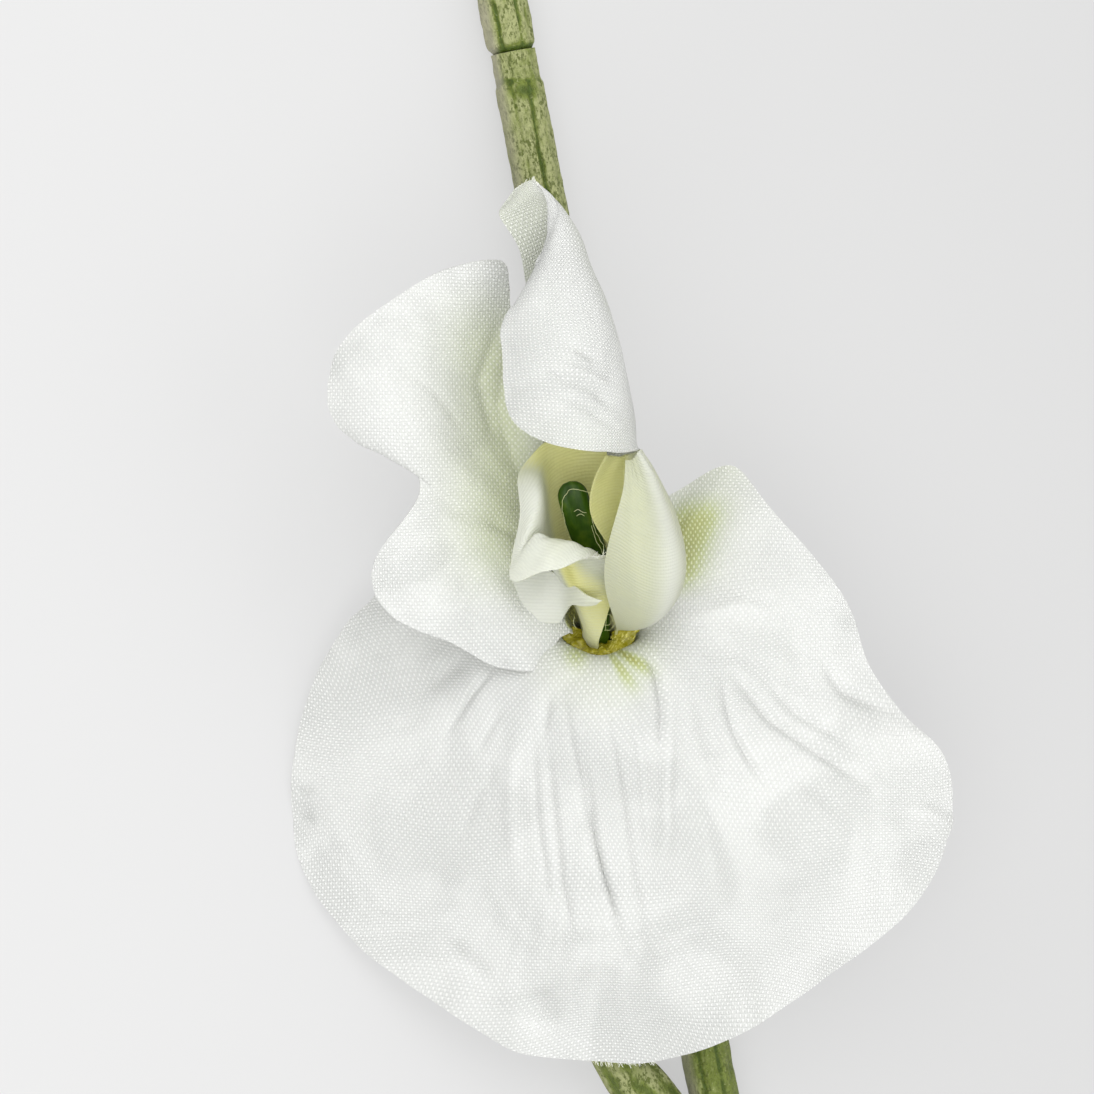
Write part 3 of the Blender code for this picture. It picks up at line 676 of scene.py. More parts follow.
def strayed(flat, distance, seed, count, pace):
    """Places on a petal, each carried off a little, so that straight lines waver."""
    return flat + distance * np.stack([crinkle(seed + k, count, flat, pace, pace) for k in (0, 1)], axis=-1)


def lifted(grid, height, way=1):
    """The petal's surface, moved square to itself: to its own front, or to the side told."""
    return grid + facing(grid) * way * height[..., None]


def pressed(flat, lines):
    """How far cloth is pushed along lines pressed into it: each has a width, a depth and points."""
    flat = strayed(flat, 0.1, 41, 8, 0.5)
    push = np.zeros(flat.shape[:-1])
    for width, depth, *points in lines:
        points = np.array(points, float)
        near = np.full(push.shape, np.inf)
        place = np.zeros(push.shape)
        passed = 0.0
        for first, last, run in zip(points[:-1], points[1:], steps_between(points)):
            ahead = (last - first) / run
            reach = np.clip((flat - first) @ ahead, 0, run)
            gap = np.linalg.norm(flat - first - reach[..., None] * ahead, axis=-1)
            place = np.where(gap < near, passed + reach, place)
            near = np.minimum(gap, near)
            passed += run
        ends = np.minimum(place, passed - place) / (0.3 * passed)
        push += depth * bell(near, width) * (0.25 + 0.75 * smooth(ends, 0, 1))
    return push


def petal_piece(name, grid, weave, dye, finish):
    """A petal from its middle surface, given the cloth's thickness and closed round its edge."""
    rows, columns = grid.shape[:2]
    half = facing(grid) * CLOTH / 2
    points = np.concatenate([(grid + half).reshape(-1, 3), (grid - half).reshape(-1, 3)])
    top = np.arange(rows * columns).reshape(rows, columns)
    faces = [quads(rows, columns), quads(rows, columns, rows * columns, turned=True)]
    for line in (top[0], top[-1][::-1], top[:, -1], top[:, 0][::-1]):
        under = line + rows * columns
        faces.append(np.stack([under[:-1], under[1:], line[1:], line[:-1]], axis=1))
    made = piece_from(name, points, np.concatenate(faces).tolist(), finish)
    made.data.set_sharp_from_angle(angle=math.radians(55))
    corners = np.empty(len(made.data.loops), np.int32)
    made.data.loops.foreach_get("vertex_index", corners)
    threads = np.concatenate([weave.reshape(-1, 2)] * 2)[corners]
    made.data.uv_layers.new(name="weave").data.foreach_set("uv", threads.ravel().astype(np.float32))
    mark(made.data, "dye", np.tile(np.clip(dye, 0, 3).ravel(), 2))
    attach(made, "root")
    return made


def dyed_cloth(name, dye_and_shade_stops, glow, see_through, wrinkle, thread_depth, gap_shade, lined, between):
    """Starched plain-weave polyester: satin light on each crossing, deeper tint between them, and painted
    shade in the gaps.

    Wrinkles and threads have a depth in millimetres. Gap shade is painted shade that darkens the gaps, a
    lined cloth shows its rows more than its crossings, and between says how far the tint gathers in the gaps.
    """
    cloth = Finish(name)
    place = cloth.place()
    threads = cloth.node("ShaderNodeUVMap", {"uv_map": "weave"})
    wander = cloth.node("ShaderNodeTexNoise", None, {"Vector": place, "Scale": 140.0, "Detail": 2.0}, out=1)
    wander = cloth.node("ShaderNodeVectorMath", {"operation": "MULTIPLY_ADD"},
                        {0: wander, 1: (0.8, 0.8, 0), 2: threads})
    across = cloth.node("ShaderNodeSeparateXYZ", None, {"Vector": wander}, out=0)
    down = cloth.node("ShaderNodeSeparateXYZ", None, {"Vector": wander}, out=1)
    warp_turn = cloth.sine(across * (math.pi / WARP_PITCH))
    weft_turn = cloth.sine(down * (math.pi / WEFT_PITCH))
    crossing = warp_turn * weft_turn
    crown = cloth.larger(crossing, 0.0) ** 0.75 * (1 - lined) + abs(weft_turn) * lined
    weave = crown + 0.45 * cloth.larger(-crossing, 0.0) ** 0.75
    slubs = cloth.speckle(place, 900.0, 4.0, 0.6)
    crumple = cloth.speckle(place, 210.0, 4.0, 0.55, 0.4)
    lit = cloth.ease(cloth.speckle(place, 120.0, 2.0, 0.6, 0.8), 0.36, 0.64, 0.78, 1.0)
    dye = cloth.node("ShaderNodeAttribute", {"attribute_name": "dye"}, out=2)
    dye = dye * (1 + between * (0.3 - crown) + slubs * 0.3)
    colour = cloth.node("ShaderNodeValToRGB", {"stops": dye_and_shade_stops}, {"Fac": dye})
    # Painted shade: the gaps between the crossings darkened, more in some patches.
    colour = cloth.blend((1 - crown) * lit * gap_shade, colour, (0.60, 0.61, 0.605, 1), "MULTIPLY")
    normal = cloth.relief(weave * lit + slubs * 0.2, thread_depth * MM, cloth.relief(crumple, wrinkle * MM))
    satin = cloth.principled({
        "Base Color": colour, "Roughness": 0.58 - crown * 0.26, "Specular IOR Level": 0.5,
        "Sheen Weight": 0.12, "Sheen Roughness": 0.4, "Normal": normal})
    through = cloth.node("ShaderNodeBsdfTranslucent", None, {"Color": glow, "Normal": normal})
    return cloth.close(cloth.node("ShaderNodeMixShader", None, {0: see_through, 1: satin, 2: through}))


def painted_hole_shade(grid):
    """Painted shade in the deep dark hole left of the claw, as a mask from 0 to 1."""
    return 1 - smooth(np.hypot(grid[..., 0] + 1.6, grid[..., 1] - 1.7), 0.75, 1.2)


def ribs(table, radius, neck):
    """Lines from a petal's foot inside the calyx to its edge, by way of its neck."""
    foot = ((radius, CLAW_IN), (radius, CLAW_OUT), neck)
    return [[ring_point(angle, *place) for place in foot] + [np.array(point) for point in points]
            for angle, *points in table]


# Colours along the keels' tint: pale cloth, a greyed stop that is painted shade on the right keel's centre,
# yellow, olive, and a near black end that is painted shade in the dark hole beside the claw.
KEEL_DYES_AND_SHADE = (
    (0.0, (0.730, 0.745, 0.710, 1)), (0.25, (0.570, 0.590, 0.470, 1)), (0.5, (0.760, 0.745, 0.340, 1)),
    (0.8, (0.560, 0.530, 0.130, 1)), (0.95, (0.370, 0.355, 0.060, 1)), (1.0, (0.080, 0.090, 0.020, 1)))
keel_cloth = dyed_cloth(
    "green_dyed_cloth", KEEL_DYES_AND_SHADE, glow=(0.86, 0.87, 0.66, 1), see_through=0.38, wrinkle=0.03,
    thread_depth=0.025, gap_shade=0.22, lined=0.8, between=0.25)

grid = cut_net(ribs(LEFT_KEEL, KEEL_FOOT, KEEL_NECK), 190, 110)
over, out = shares(grid)
weave = run_lengths(grid)
grid = lifted(grid, 0.05 * crinkle(51, 10, weave, 1.1, 0.5) * smooth(out, 0.25, 0.6)
              + 0.10 * crinkle(52, 10, weave, 2.2, 0.8) * smooth(out, 0.85, 1.0))
inside = 1 - smooth(over, 0.24, 0.42)
dye = 0.50 * inside + 0.30 * (1 - smooth(out, 0.28, 0.55))
# The claw's yellow green, darker towards its left: the cloth's tint, and painted shade under the keel's lip.
claw = smooth(over, 0.6, 0.75) * bell(out - 0.58, 0.20) * smooth(grid[..., 0], -4.9, -3.7)
dye += claw * (0.46 + 0.48 * bell(grid[..., 0] + 3.0, 1.0))
# Painted shade: the dark hole beside the claw, in the darkest colour.
dye += 2.5 * painted_hole_shade(grid) * (1 - smooth(over, 0.55, 0.66))
lip = grid[168:]
keel_lip = lip[:, -1], (lip[:, -1] - lip[:, -12]) * 0.4 + (0.35, 0.75, 0.35)
left_keel = petal_piece("keel_petal_left_cloth", grid, weave, dye, keel_cloth)
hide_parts("keel_petal_left")

grid = cut_net(ribs(RIGHT_KEEL, KEEL_FOOT, KEEL_NECK), 170, 120)
over, out = shares(grid)
weave = run_lengths(grid)
grid = lifted(grid, 0.05 * crinkle(53, 10, weave, 0.9, 0.5) * smooth(out, 0.25, 0.6)
              + 0.08 * crinkle(54, 10, weave, 2.2, 0.8) * smooth(out, 0.85, 1.0))
# Painted shade and light on the right keel: a greyed centre for its shade, the cloth's yellow green towards
# its left side and foot, and a paler band near its right side as a painted highlight.
dye = 0.25 + 0.22 * (1 - smooth(over, 0.15, 0.35)) + 0.3 * (1 - smooth(out, 0.15, 0.3))
dye -= 0.25 * bell(over - 0.66, 0.08)
right_keel = petal_piece("keel_petal_right_cloth", grid, weave, dye, keel_cloth)
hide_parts("keel_petal_right")

# ---------------------------------------------------------------------------------------------
# Wing petals. Two larger petals of the same cloth above the keels. The left one is pressed into
# two lobes round a notch. The right one is rolled forward over itself to a rough-cut point.
# ---------------------------------------------------------------------------------------------
WING_FOOT = 2.05
WING_NECK = (2.25, 1.85)

LEFT_WING = (  # angle of the foot, then the points its rib passes through
    (113, (-1.9, 4.9, 0.8), (-2.9, 9.4, 1.5), (-4.2, 14.6, 3.1), (-5.9, 20.4, 5.0), (-7.3, 27.6, 6.4)),
    (118, (-2.3, 4.9, 0.5), (-4.0, 9.4, 1.0), (-5.8, 15.0, 2.7), (-7.1, 21.0, 5.3), (-7.7, 28.4, 7.3)),
    (122, (-2.5, 4.9, 0.5), (-4.5, 9.4, 1.1), (-7.4, 15.0, 3.0), (-8.9, 21.2, 6.4), (-9.8, 28.2, 9.2)),
    (126, (-2.7, 4.9, 0.4), (-5.0, 9.3, 1.4), (-8.6, 14.8, 4.0), (-11.0, 20.8, 7.5), (-12.4, 27.3, 9.3)),
    (130, (-2.9, 4.9, 0.5), (-5.5, 9.0, 1.8), (-9.6, 14.0, 4.8), (-13.2, 19.4, 8.5), (-16.0, 25.1, 9.2)),
    (134, (-3.0, 4.8, 0.6), (-5.9, 8.6, 2.1), (-10.2, 12.9, 5.7), (-15.2, 17.5, 9.2), (-19.5, 21.8, 8.2)),
    (138, (-3.1, 4.7, 0.8), (-6.2, 8.1, 2.3), (-10.4, 11.8, 5.8), (-15.6, 15.4, 8.7), (-20.3, 17.6, 7.4)),
    (142, (-3.2, 4.5, 0.9), (-6.4, 7.6, 2.4), (-10.4, 10.8, 5.6), (-14.6, 13.5, 8.0), (-18.6, 15.2, 7.2)),
    (146, (-3.3, 4.2, 1.0), (-6.4, 7.0, 2.5), (-9.8, 9.6, 5.0), (-12.6, 11.6, 7.0), (-14.8, 13.7, 7.4)),
    (150, (-3.4, 3.9, 1.1), (-6.4, 6.3, 2.5), (-9.4, 8.4, 4.5), (-11.7, 9.9, 6.3), (-13.5, 11.2, 7.0)),
    (154, (-3.4, 3.6, 1.3), (-6.4, 5.5, 2.5), (-9.6, 6.9, 4.3), (-12.7, 7.8, 6.1), (-15.3, 8.3, 6.6)),
    (158, (-3.4, 3.3, 1.5), (-6.4, 4.6, 2.6), (-9.8, 5.0, 4.2), (-13.6, 5.0, 5.8), (-17.1, 4.9, 5.8)),
    (164, (-3.3, 2.9, 1.7), (-6.0, 3.7, 2.9), (-9.0, 3.3, 4.3), (-12.3, 2.5, 5.2), (-15.4, 1.7, 5.0)),
    (170, (-3.2, 2.4, 2.0), (-5.4, 2.8, 3.1), (-7.3, 2.0, 3.9), (-9.4, 0.9, 4.3), (-11.3, -0.1, 4.2)),
    (176, (-3.0, 1.8, 2.3), (-4.7, 1.9, 3.4), (-5.9, 0.8, 3.9), (-7.1, -0.6, 4.1), (-8.1, -1.9, 3.9)),
    (182, (-2.6, 1.2, 2.3), (-3.6, 1.1, 3.1), (-4.3, 0.2, 3.6), (-5.0, -0.9, 3.8), (-5.7, -2.2, 3.6)),
    (190, (-2.4, 0.5, 2.1), (-3.0, 0.2, 2.7), (-3.5, -0.5, 3.0), (-4.0, -1.3, 3.1), (-4.4, -2.0, 3.05)),
)
LEFT_WING_PRESSED = (
    (1.6, 0.12, (-8.5, 28.5), (-10.25, 25.25), (-11.0, 21.25), (-12.75, 16.25), (-13.5, 12.75)),
    (0.5, -0.22, (-7.5, 24.25), (-9.0, 19.25), (-8.0, 15.75), (-5.5, 14.75)),
    (0.35, -0.12, (-6.7, 22.5), (-7.6, 17.5), (-6.2, 12.0)),
    (0.6, -0.3, (-12.75, 11.25), (-10.5, 9.5), (-6.0, 8.25)),
    (1.2, 0.4, (-10.25, 7.0), (-8.0, 4.25), (-6.75, 1.5), (-5.5, -2.25)),
    (0.4, -0.15, (-16.2, 21.5), (-12.6, 18.6), (-10.2, 15.5)),
    (0.35, -0.1, (-15.0, 4.6), (-11.5, 4.2), (-8.6, 4.9)),
)
RIGHT_WING = (  # each row runs up the back of the roll and over to its free edge
    ((-0.8, 5.2, 0.0), (0.6, 5.6, -0.1), (1.9, 5.6, 0.2), (3.2, 5.4, 1.2)),
    ((-2.1, 9.8, 0.5), (-0.3, 10.0, 0.4), (1.7, 10.2, 0.8), (3.5, 10.0, 2.3)),
    ((-3.3, 12.2, 1.2), (-1.0, 12.6, 0.9), (1.3, 12.9, 1.2), (3.1, 13.2, 3.0)),
    ((-4.2, 14.4, 2.0), (-1.8, 15.0, 1.5), (0.8, 15.4, 1.8), (2.3, 15.6, 3.8), (2.6, 15.2, 6.8),
     (2.5, 14.15, 10.0)),
    ((-4.9, 17.5, 3.4), (-2.2, 18.3, 2.9), (0.4, 18.6, 3.2), (2.0, 18.4, 5.4), (2.1, 17.2, 8.9),
     (0.9, 15.6, 11.5), (-0.5, 14.1, 12.3)),
    ((-5.2, 20.8, 4.6), (-2.6, 22.0, 4.2), (-0.1, 22.3, 4.7), (1.3, 22.0, 6.8), (1.2, 20.6, 9.8),
     (-0.9, 18.4, 12.0), (-3.2, 16.3, 12.4), (-4.6, 15.0, 12.1)),
    ((-5.3, 24.2, 5.9), (-3.2, 25.4, 5.6), (-0.9, 25.8, 6.1), (0.3, 25.3, 7.9), (0.1, 24.2, 10.2),
     (-2.2, 22.0, 11.9), (-4.8, 19.4, 12.2), (-6.9, 17.2, 11.2)),
    ((-5.6, 27.2, 7.2), (-3.9, 28.2, 7.0), (-1.9, 28.8, 7.4), (-0.9, 28.4, 8.7), (-1.1, 27.4, 10.4),
     (-3.0, 25.4, 11.6), (-5.0, 23.0, 12.2), (-7.2, 20.6, 11.2)),
    ((-6.2, 29.6, 8.4), (-4.6, 30.4, 8.2), (-2.8, 31.0, 8.6), (-1.8, 30.7, 9.6), (-2.0, 30.0, 10.8),
     (-3.2, 28.4, 11.8), (-5.0, 26.0, 12.0), (-7.3, 23.2, 11.2)),
    ((-7.4, 31.4, 9.2), (-6.0, 32.0, 9.2), (-4.4, 32.5, 9.4), (-3.0, 32.4, 10.2), (-2.7, 31.6, 11.0),
     (-3.4, 30.0, 11.7), (-4.6, 27.9, 11.6), (-6.3, 25.3, 11.2)),
    ((-7.2, 32.5, 9.6), (-6.2, 33.1, 9.7), (-5.0, 33.5, 10.0), (-3.9, 33.3, 10.6), (-3.4, 32.4, 11.1),
     (-3.6, 31.0, 11.3), (-4.3, 29.0, 11.2)),
    ((-6.4, 33.6, 10.0), (-5.8, 34.0, 10.1), (-5.1, 34.3, 10.3), (-4.5, 33.8, 10.6),
     (-4.0, 33.0, 10.8), (-3.75, 31.6, 10.9)),
)
RIGHT_WING_PRESSED = (
    (0.35, -0.18, (-2.2, 21.75), (-0.2, 20.75)),
    (0.35, -0.16, (-2.5, 19.25), (-0.8, 18.6), (1.0, 17.25)),
    (0.3, -0.12, (-3.6, 18.0), (-1.2, 17.2), (1.2, 15.6)),
    (0.3, 0.12, (-3.0, 20.4), (-0.8, 19.6), (1.0, 18.6)),
    (0.3, -0.10, (-4.6, 20.4), (-3.0, 19.2), (-1.4, 18.8)),
)

# Colours along the wings' and banner's tint: white cloth, pale green, yellow green, olive, and a dark end
# reached by the foot's deep tint and used as painted shade in the dark hole beside the claw.
WING_DYES_AND_SHADE = (
    (0.0, (0.930, 0.932, 0.925, 1)), (0.25, (0.810, 0.850, 0.660, 1)), (0.5, (0.680, 0.740, 0.340, 1)),
    (0.8, (0.520, 0.530, 0.110, 1)), (1.0, (0.300, 0.300, 0.040, 1)))
wing_cloth = dyed_cloth(
    "white_petal_cloth", WING_DYES_AND_SHADE, glow=(0.90, 0.91, 0.86, 1), see_through=0.32, wrinkle=0.09,
    thread_depth=0.08, gap_shade=0.80, lined=0.05, between=0.85)


def towards_viewer(grid):
    """1 where the surface faces out of the flower's face, and -1 where it faces back."""
    return np.sign(facing(grid)[..., 2:])


grid = cut_net(ribs(LEFT_WING, WING_FOOT, WING_NECK), 300, 150)
over, out = shares(grid)
weave = grid[..., :2].copy()
body = smooth(out, 0.25, 0.5)
grid = lifted(grid, pressed(weave, LEFT_WING_PRESSED) * body
              + 0.09 * crinkle(61, 12, weave, 0.45, 0.45) * body
              + 0.12 * crinkle(62, 12, weave, 1.2, 1.2) * smooth(out, 0.86, 1.0), towards_viewer(grid))
x, y = weave[..., 0], weave[..., 1]
valley = np.minimum(np.abs(x + 7.2 + 0.05 * (y - 12)), 9)
foot_dye = 0.9 * (1 - smooth(grid @ CUP_AXIS, 0.9, 1.9)) * (1 - smooth(out, 0.2, 0.3))
# A pale green down the valley of the left wing: the cloth's tint, and painted shade in the valley's concave
# inside.
dye = 0.24 * bell(valley, 3.6) * smooth(y, 1.5, 8.0) * (1 - smooth(y, 21, 28))
# Then a faint tint near the foot, and the larger of the foot's deep tint inside the cup and painted shade in
# the dark hole beside the claw.
dye += 0.10 * bell(np.hypot(x + 3.2, y - 4.0), 3.4) + np.maximum(2.5 * painted_hole_shade(grid), foot_dye)
wing_foot = grid[-1, 40:86], (grid[-1, 40:86] - grid[-7, 40:86])
left_wing = petal_piece("wing_petal_left_cloth", grid, weave, dye, wing_cloth)
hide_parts("wing_petal_left")

WING_FOLD = (  # a turned-in corner, from its lower edge to its upper, ending over the claw
    ((-7.4, 2.4, 3.6), (-7.1, 3.8, 2.9), (-6.7, 5.4, 2.4)),
    ((-5.4, 1.6, 3.7), (-5.3, 3.5, 3.5), (-4.9, 5.4, 3.4)),
    ((-4.0, 1.3, 3.5), (-4.0, 3.4, 3.9), (-3.8, 5.2, 4.1)),
    ((-2.9, 1.5, 3.3), (-2.8, 3.2, 4.1), (-2.7, 4.65, 4.45)),
    ((-2.2, 2.6, 4.4), (-1.9, 3.4, 5.0), (-1.6, 3.85, 5.3)),
    ((-1.3, 2.6, 5.1), (-1.1, 3.05, 5.5), (-0.9, 3.35, 5.65)),
    ((-0.3, 2.72, 5.5), (-0.1, 2.86, 5.75), (0.2, 2.97, 5.85)),
)
grid = cut_net(WING_FOLD, 130, 60)
over, out = shares(grid)
dye = 0.12 * smooth(over, 0.3, 0.9)
turned_in = petal_piece("wing_petal_left_corner", grid, grid[..., :2], dye, keel_cloth)

wing_rows = [[ring_point(angle, radius, height) for angle in (98, 73, 48, 25)]
             for radius, height in ((WING_FOOT, CLAW_IN), (WING_FOOT, CLAW_OUT), WING_NECK)]
grid = cut_net(wing_rows + [list(row) for row in RIGHT_WING], 230, 200)
over, out = shares(grid)
weave = run_lengths(grid)[..., ::-1]
flap = smooth(out, 0.5, 0.65) * smooth(over, 0.4, 0.5)
front = towards_viewer(grid)[150, 150]
grid = lifted(grid, 1.6 * pressed(grid[..., :2], RIGHT_WING_PRESSED) * flap
              + 0.07 * crinkle(63, 12, weave, 0.6, 0.6) * smooth(over, 0.3, 0.5)
              + 0.10 * crinkle(64, 12, weave, 1.6, 1.6) * smooth(out, 0.9, 1.0) * flap, front)
dye = 0.6 * (1 - smooth(over, 0.2, 0.42)) + 0.10 * (1 - smooth(out, 0.25, 0.5)) * smooth(over, 0.4, 0.6)
dye += 0.03 * bell(grid[..., 1] - 14.0, 2.5) * flap
wing_tip = grid[-1, 2:-2], (grid[-1, 2:-2] - grid[-6, 2:-2])
right_wing = petal_piece("wing_petal_right_cloth", grid, weave, dye, wing_cloth)
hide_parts("wing_petal_right")

# ---------------------------------------------------------------------------------------------
# Banner petal. One broad sheet of the same cloth that wraps the throat from below, cut round
# with hot dies, pressed into fine folds that spread from the throat, and soft at its rim.
# ---------------------------------------------------------------------------------------------
BANNER_FOOT = 2.8
BANNER_RIM = (  # angle of the foot, then the point of the rim it reaches
    (62, (5.2, 10.8, -3.0)), (50, (7.3, 12.0, -3.6)), (40, (10.0, 13.1, -3.6)), (32, (12.0, 10.9, -3.2)),
    (20, (15.0, 7.5, -2.6)), (8, (17.7, 4.1, -2.4)), (3, (19.2, 1.5, -2.6)), (-2, (20.0, -1.1, -2.8)),
    (-7, (21.5, -3.75, -3.3)), (-12, (23.6, -6.4, -3.6)), (-18, (25.9, -9.0, -3.9)),
    (-24, (26.5, -12.0, -4.0)), (-34, (25.9, -15.75, -3.4)), (-40, (24.4, -19.1, -2.9)),
    (-46, (21.0, -22.5, -2.6)),
    (-58, (16.5, -25.9, -3.0)), (-70, (12.0, -28.9, -2.6)), (-79, (7.5, -30.9, -2.9)),
    (-88, (3.0, -31.9, -2.6)), (-97, (-1.5, -31.7, -2.3)), (-106, (-6.0, -31.1, -2.8)),
    (-111, (-9.0, -29.6, -3.4)), (-118, (-13.5, -26.6, -4.2)), (-132, (-18.0, -23.3, -4.8)),
    (-146, (-21.75, -18.75, -4.9)), (-153, (-23.1, -15.75, -4.9)), (-160, (-23.4, -12.0, -4.9)),
    (-168, (-22.9, -7.5, -4.7)), (-175, (-21.75, -3.75, -4.5)), (-184, (-20.2, -0.6, -4.2)),
    (-189, (-18.75, 1.65, -4.1)), (-194, (-17.25, 3.15, -4.0)), (-200, (-16.1, 5.3, -4.2)),
    (-206, (-15.0, 7.5, -4.4)), (-218, (-12.6, 11.0, -4.8)), (-230, (-9.8, 12.8, -5.0)),
)
BANNER_PRESSED = (
    (0.9, -0.35, (-13.5, -3.75), (-10.1, -1.1)),
    (0.35, -0.28, (-11.4, -6.75), (-9.9, -4.2), (-8.25, -2.25)),
    (0.35, -0.18, (-9.2, -8.6), (-7.5, -5.25)),
    (0.35, -0.22, (-4.3, -7.5), (-3.9, -4.5)),
    (0.30, -0.24, (-2.8, -3.8), (-1.2, -12.4), (0.76, -19.0), (2.3, -24.5)),
    (0.28, -0.18, (0.4, -4.6), (1.9, -12.8), (2.9, -19.5), (3.4, -23.5)),
    (0.30, -0.22, (-3.9, -8.0), (-2.8, -18.3), (-1.8, -23.0)),
    (0.28, -0.24, (-1.4, -8.0), (-0.4, -14.3), (1.1, -20.6), (1.7, -24.2)),
    (0.28, -0.16, (-5.0, -7.0), (-4.5, -14.5), (-3.7, -20.0)),
    (0.26, 0.10, (2.2, -4.0), (3.2, -10.0), (3.8, -17.0)),
    (0.5, -0.16, (-7.9, -9.0), (-8.3, -11.5)),
    (0.34, -0.40, (3.4, -0.6), (4.3, -2.5), (4.6, -5.0), (4.4, -8.5)),
    (0.4, 0.28, (5.06, -6.0), (5.1, -10.0), (5.06, -14.25), (4.3, -18.0)),
    (0.5, 0.14, (7.5, -12.75), (8.6, -19.0)),
    (0.32, -0.32, (9.2, -3.0), (10.0, -6.2), (11.25, -9.0), (12.75, -11.25)),
    (0.45, -0.42, (10.1, -2.6), (13.1, -6.0), (17.25, -9.0), (20.25, -11.25)),
    (0.4, -0.25, (12.6, -3.2), (15.0, -5.6), (18.4, -7.6)),
    (0.4, -0.22, (15.0, -10.9), (18.75, -13.5)),
    (0.5, -0.32, (16.9, -1.5), (18.4, -3.75), (21.4, -5.25)),
    (0.7, 0.45, (23.25, -12.75), (26.6, -14.25)),
    (0.3, -0.22, (-23.2, -11.25), (-21.7, -11.25)),
    (0.3, -0.22, (-23.2, -13.5), (-21.7, -13.5)),
    (1.2, -0.4, (-5.0, -26.0), (-4.0, -29.5)),
    (0.4, -0.14, (-8.6, -10.5), (-10.5, -15.0)),
    (0.6, -0.14, (-12.0, -22.5), (-8.25, -25.9)),
    (0.5, 0.16, (-6.2, -6.0), (-6.6, -12.5), (-6.2, -18.0)),
    (0.5, 0.14, (7.6, 2.0), (11.0, 2.6), (13.6, 1.4)),
    (0.4, -0.18, (6.9, -4.2), (8.3, -8.5), (9.2, -12.0)),
)


def banner_ribs():
    """Lines from the banner's foot, over the cup's lip and out along each fold to its rim."""
    lines = []
    for angle, edge in BANNER_RIM:
        low = min(1.0, max(0.0, 0.25 - 0.75 * math.sin(math.radians(angle))))
        shoulder = ring_point(angle, 5.4, 1.6 + 1.1 * low)
        drawn_in = 0.8 * smooth(low, 0.3, 0.9)
        rib = [ring_point(angle, BANNER_FOOT - drawn_in * 0.6, CLAW_IN),
               ring_point(angle, BANNER_FOOT - drawn_in, CLAW_OUT),
               ring_point(angle, 3.8 - drawn_in, 1.75 + 0.6 * low), shoulder]
        edge = np.array(edge)
        for share, rise in ((0.35, 1.2), (0.7, 1.1)):
            rib.append(shoulder * (1 - share) + edge * share + (0, 0, rise * (0.15 + 0.85 * low)))
        lines.append(rib + [edge])
    return lines


grid = cut_net(banner_ribs(), 450, 104)
over, out = shares(grid)
weave = strayed(grid[..., :2], 0.6, 75, 6, 0.25)
rim_run = summed(steps_between(grid[:, -1]))[:, None]
x, y = grid[..., 0], grid[..., 1]
reach = np.hypot(x, y)
turn = np.degrees(np.arctan2(x, -y))
patchy = smooth(crinkle(74, 8, grid, 0.18, 0.18), -0.5, 0.9)
fanned = smooth(reach, 4, 9) * (1 - smooth(out, 0.72, 0.95)) * patchy
grid = lifted(grid, 1.4 * pressed(grid[..., :2], BANNER_PRESSED) * smooth(reach, 2.4, 4.2)
              + 0.14 * crinkle(71, 14, weave, 0.35, 0.25) * smooth(out, 0.25, 0.4)
              + 0.085 * ripple(72, 18, (turn, 1.3), (reach, 0.05)) * fanned
              + 0.16 * ripple(73, 12, (rim_run, 0.75), (out, 3.0)) * smooth(out, 0.86, 1.0),
              towards_viewer(grid))
dye = 0.9 * (1 - smooth(grid @ CUP_AXIS, 0.9, 1.8)) * (1 - smooth(reach, 2.4, 3.2))
# Painted shade in the dark hole beside the claw, where it is larger than the foot's tint inside the cup; then
# a faint tint near the throat.
dye = np.maximum(2.5 * painted_hole_shade(grid), dye) + 0.08 * (1 - smooth(reach, 2.6, 7.5))
dye += 0.30 * bell(turn + 60, 26) * (1 - smooth(reach, 2.0, 3.6))
ribbing = 0.5 + 0.5 * np.sin(turn / 4.2)
dye += (0.15 + 0.45 * ribbing) * bell(turn - 50, 24) * (1 - smooth(reach, 2.6, 5.6))
# A green pocket beside the right keel: the cloth's tint, and painted shade where the sheet dips into it.
slope = np.abs((x - 4.9) - (y - 3.0) * 0.36)
dye += 0.42 * bell(slope - 0.4, 1.6) * smooth(y, 2.5, 5.5) * (1 - smooth(y, 8.6, 11.5))
dye += 0.10 * bell(slope, 3.4) * smooth(y, 2.0, 5.0)
rim = grid[:, -1]
low_rim = grid[(rim[:, 0] > -1.2) & (rim[:, 0] < 4.2) & (rim[:, 1] < -20)]
banner_edge = low_rim[:, -1], low_rim[:, -1] - low_rim[:, -6]
banner = petal_piece("banner_petal_cloth", grid, weave, dye, wing_cloth)
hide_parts("banner_petal")

# ---------------------------------------------------------------------------------------------
# Throat glue. Amber hot glue squeezed into the throat holds the petals' feet. It set as a lumpy
# shiny band along the lower edge of the opening, thicker where two petals meet.
# ---------------------------------------------------------------------------------------------
GLUE_FROM = 172.0
GLUE_TO = 366.0
GLUE_HALF_WIDTH = 0.86
GLUE_HALF_THICK = 0.34
GLUE_TILT = 0.42


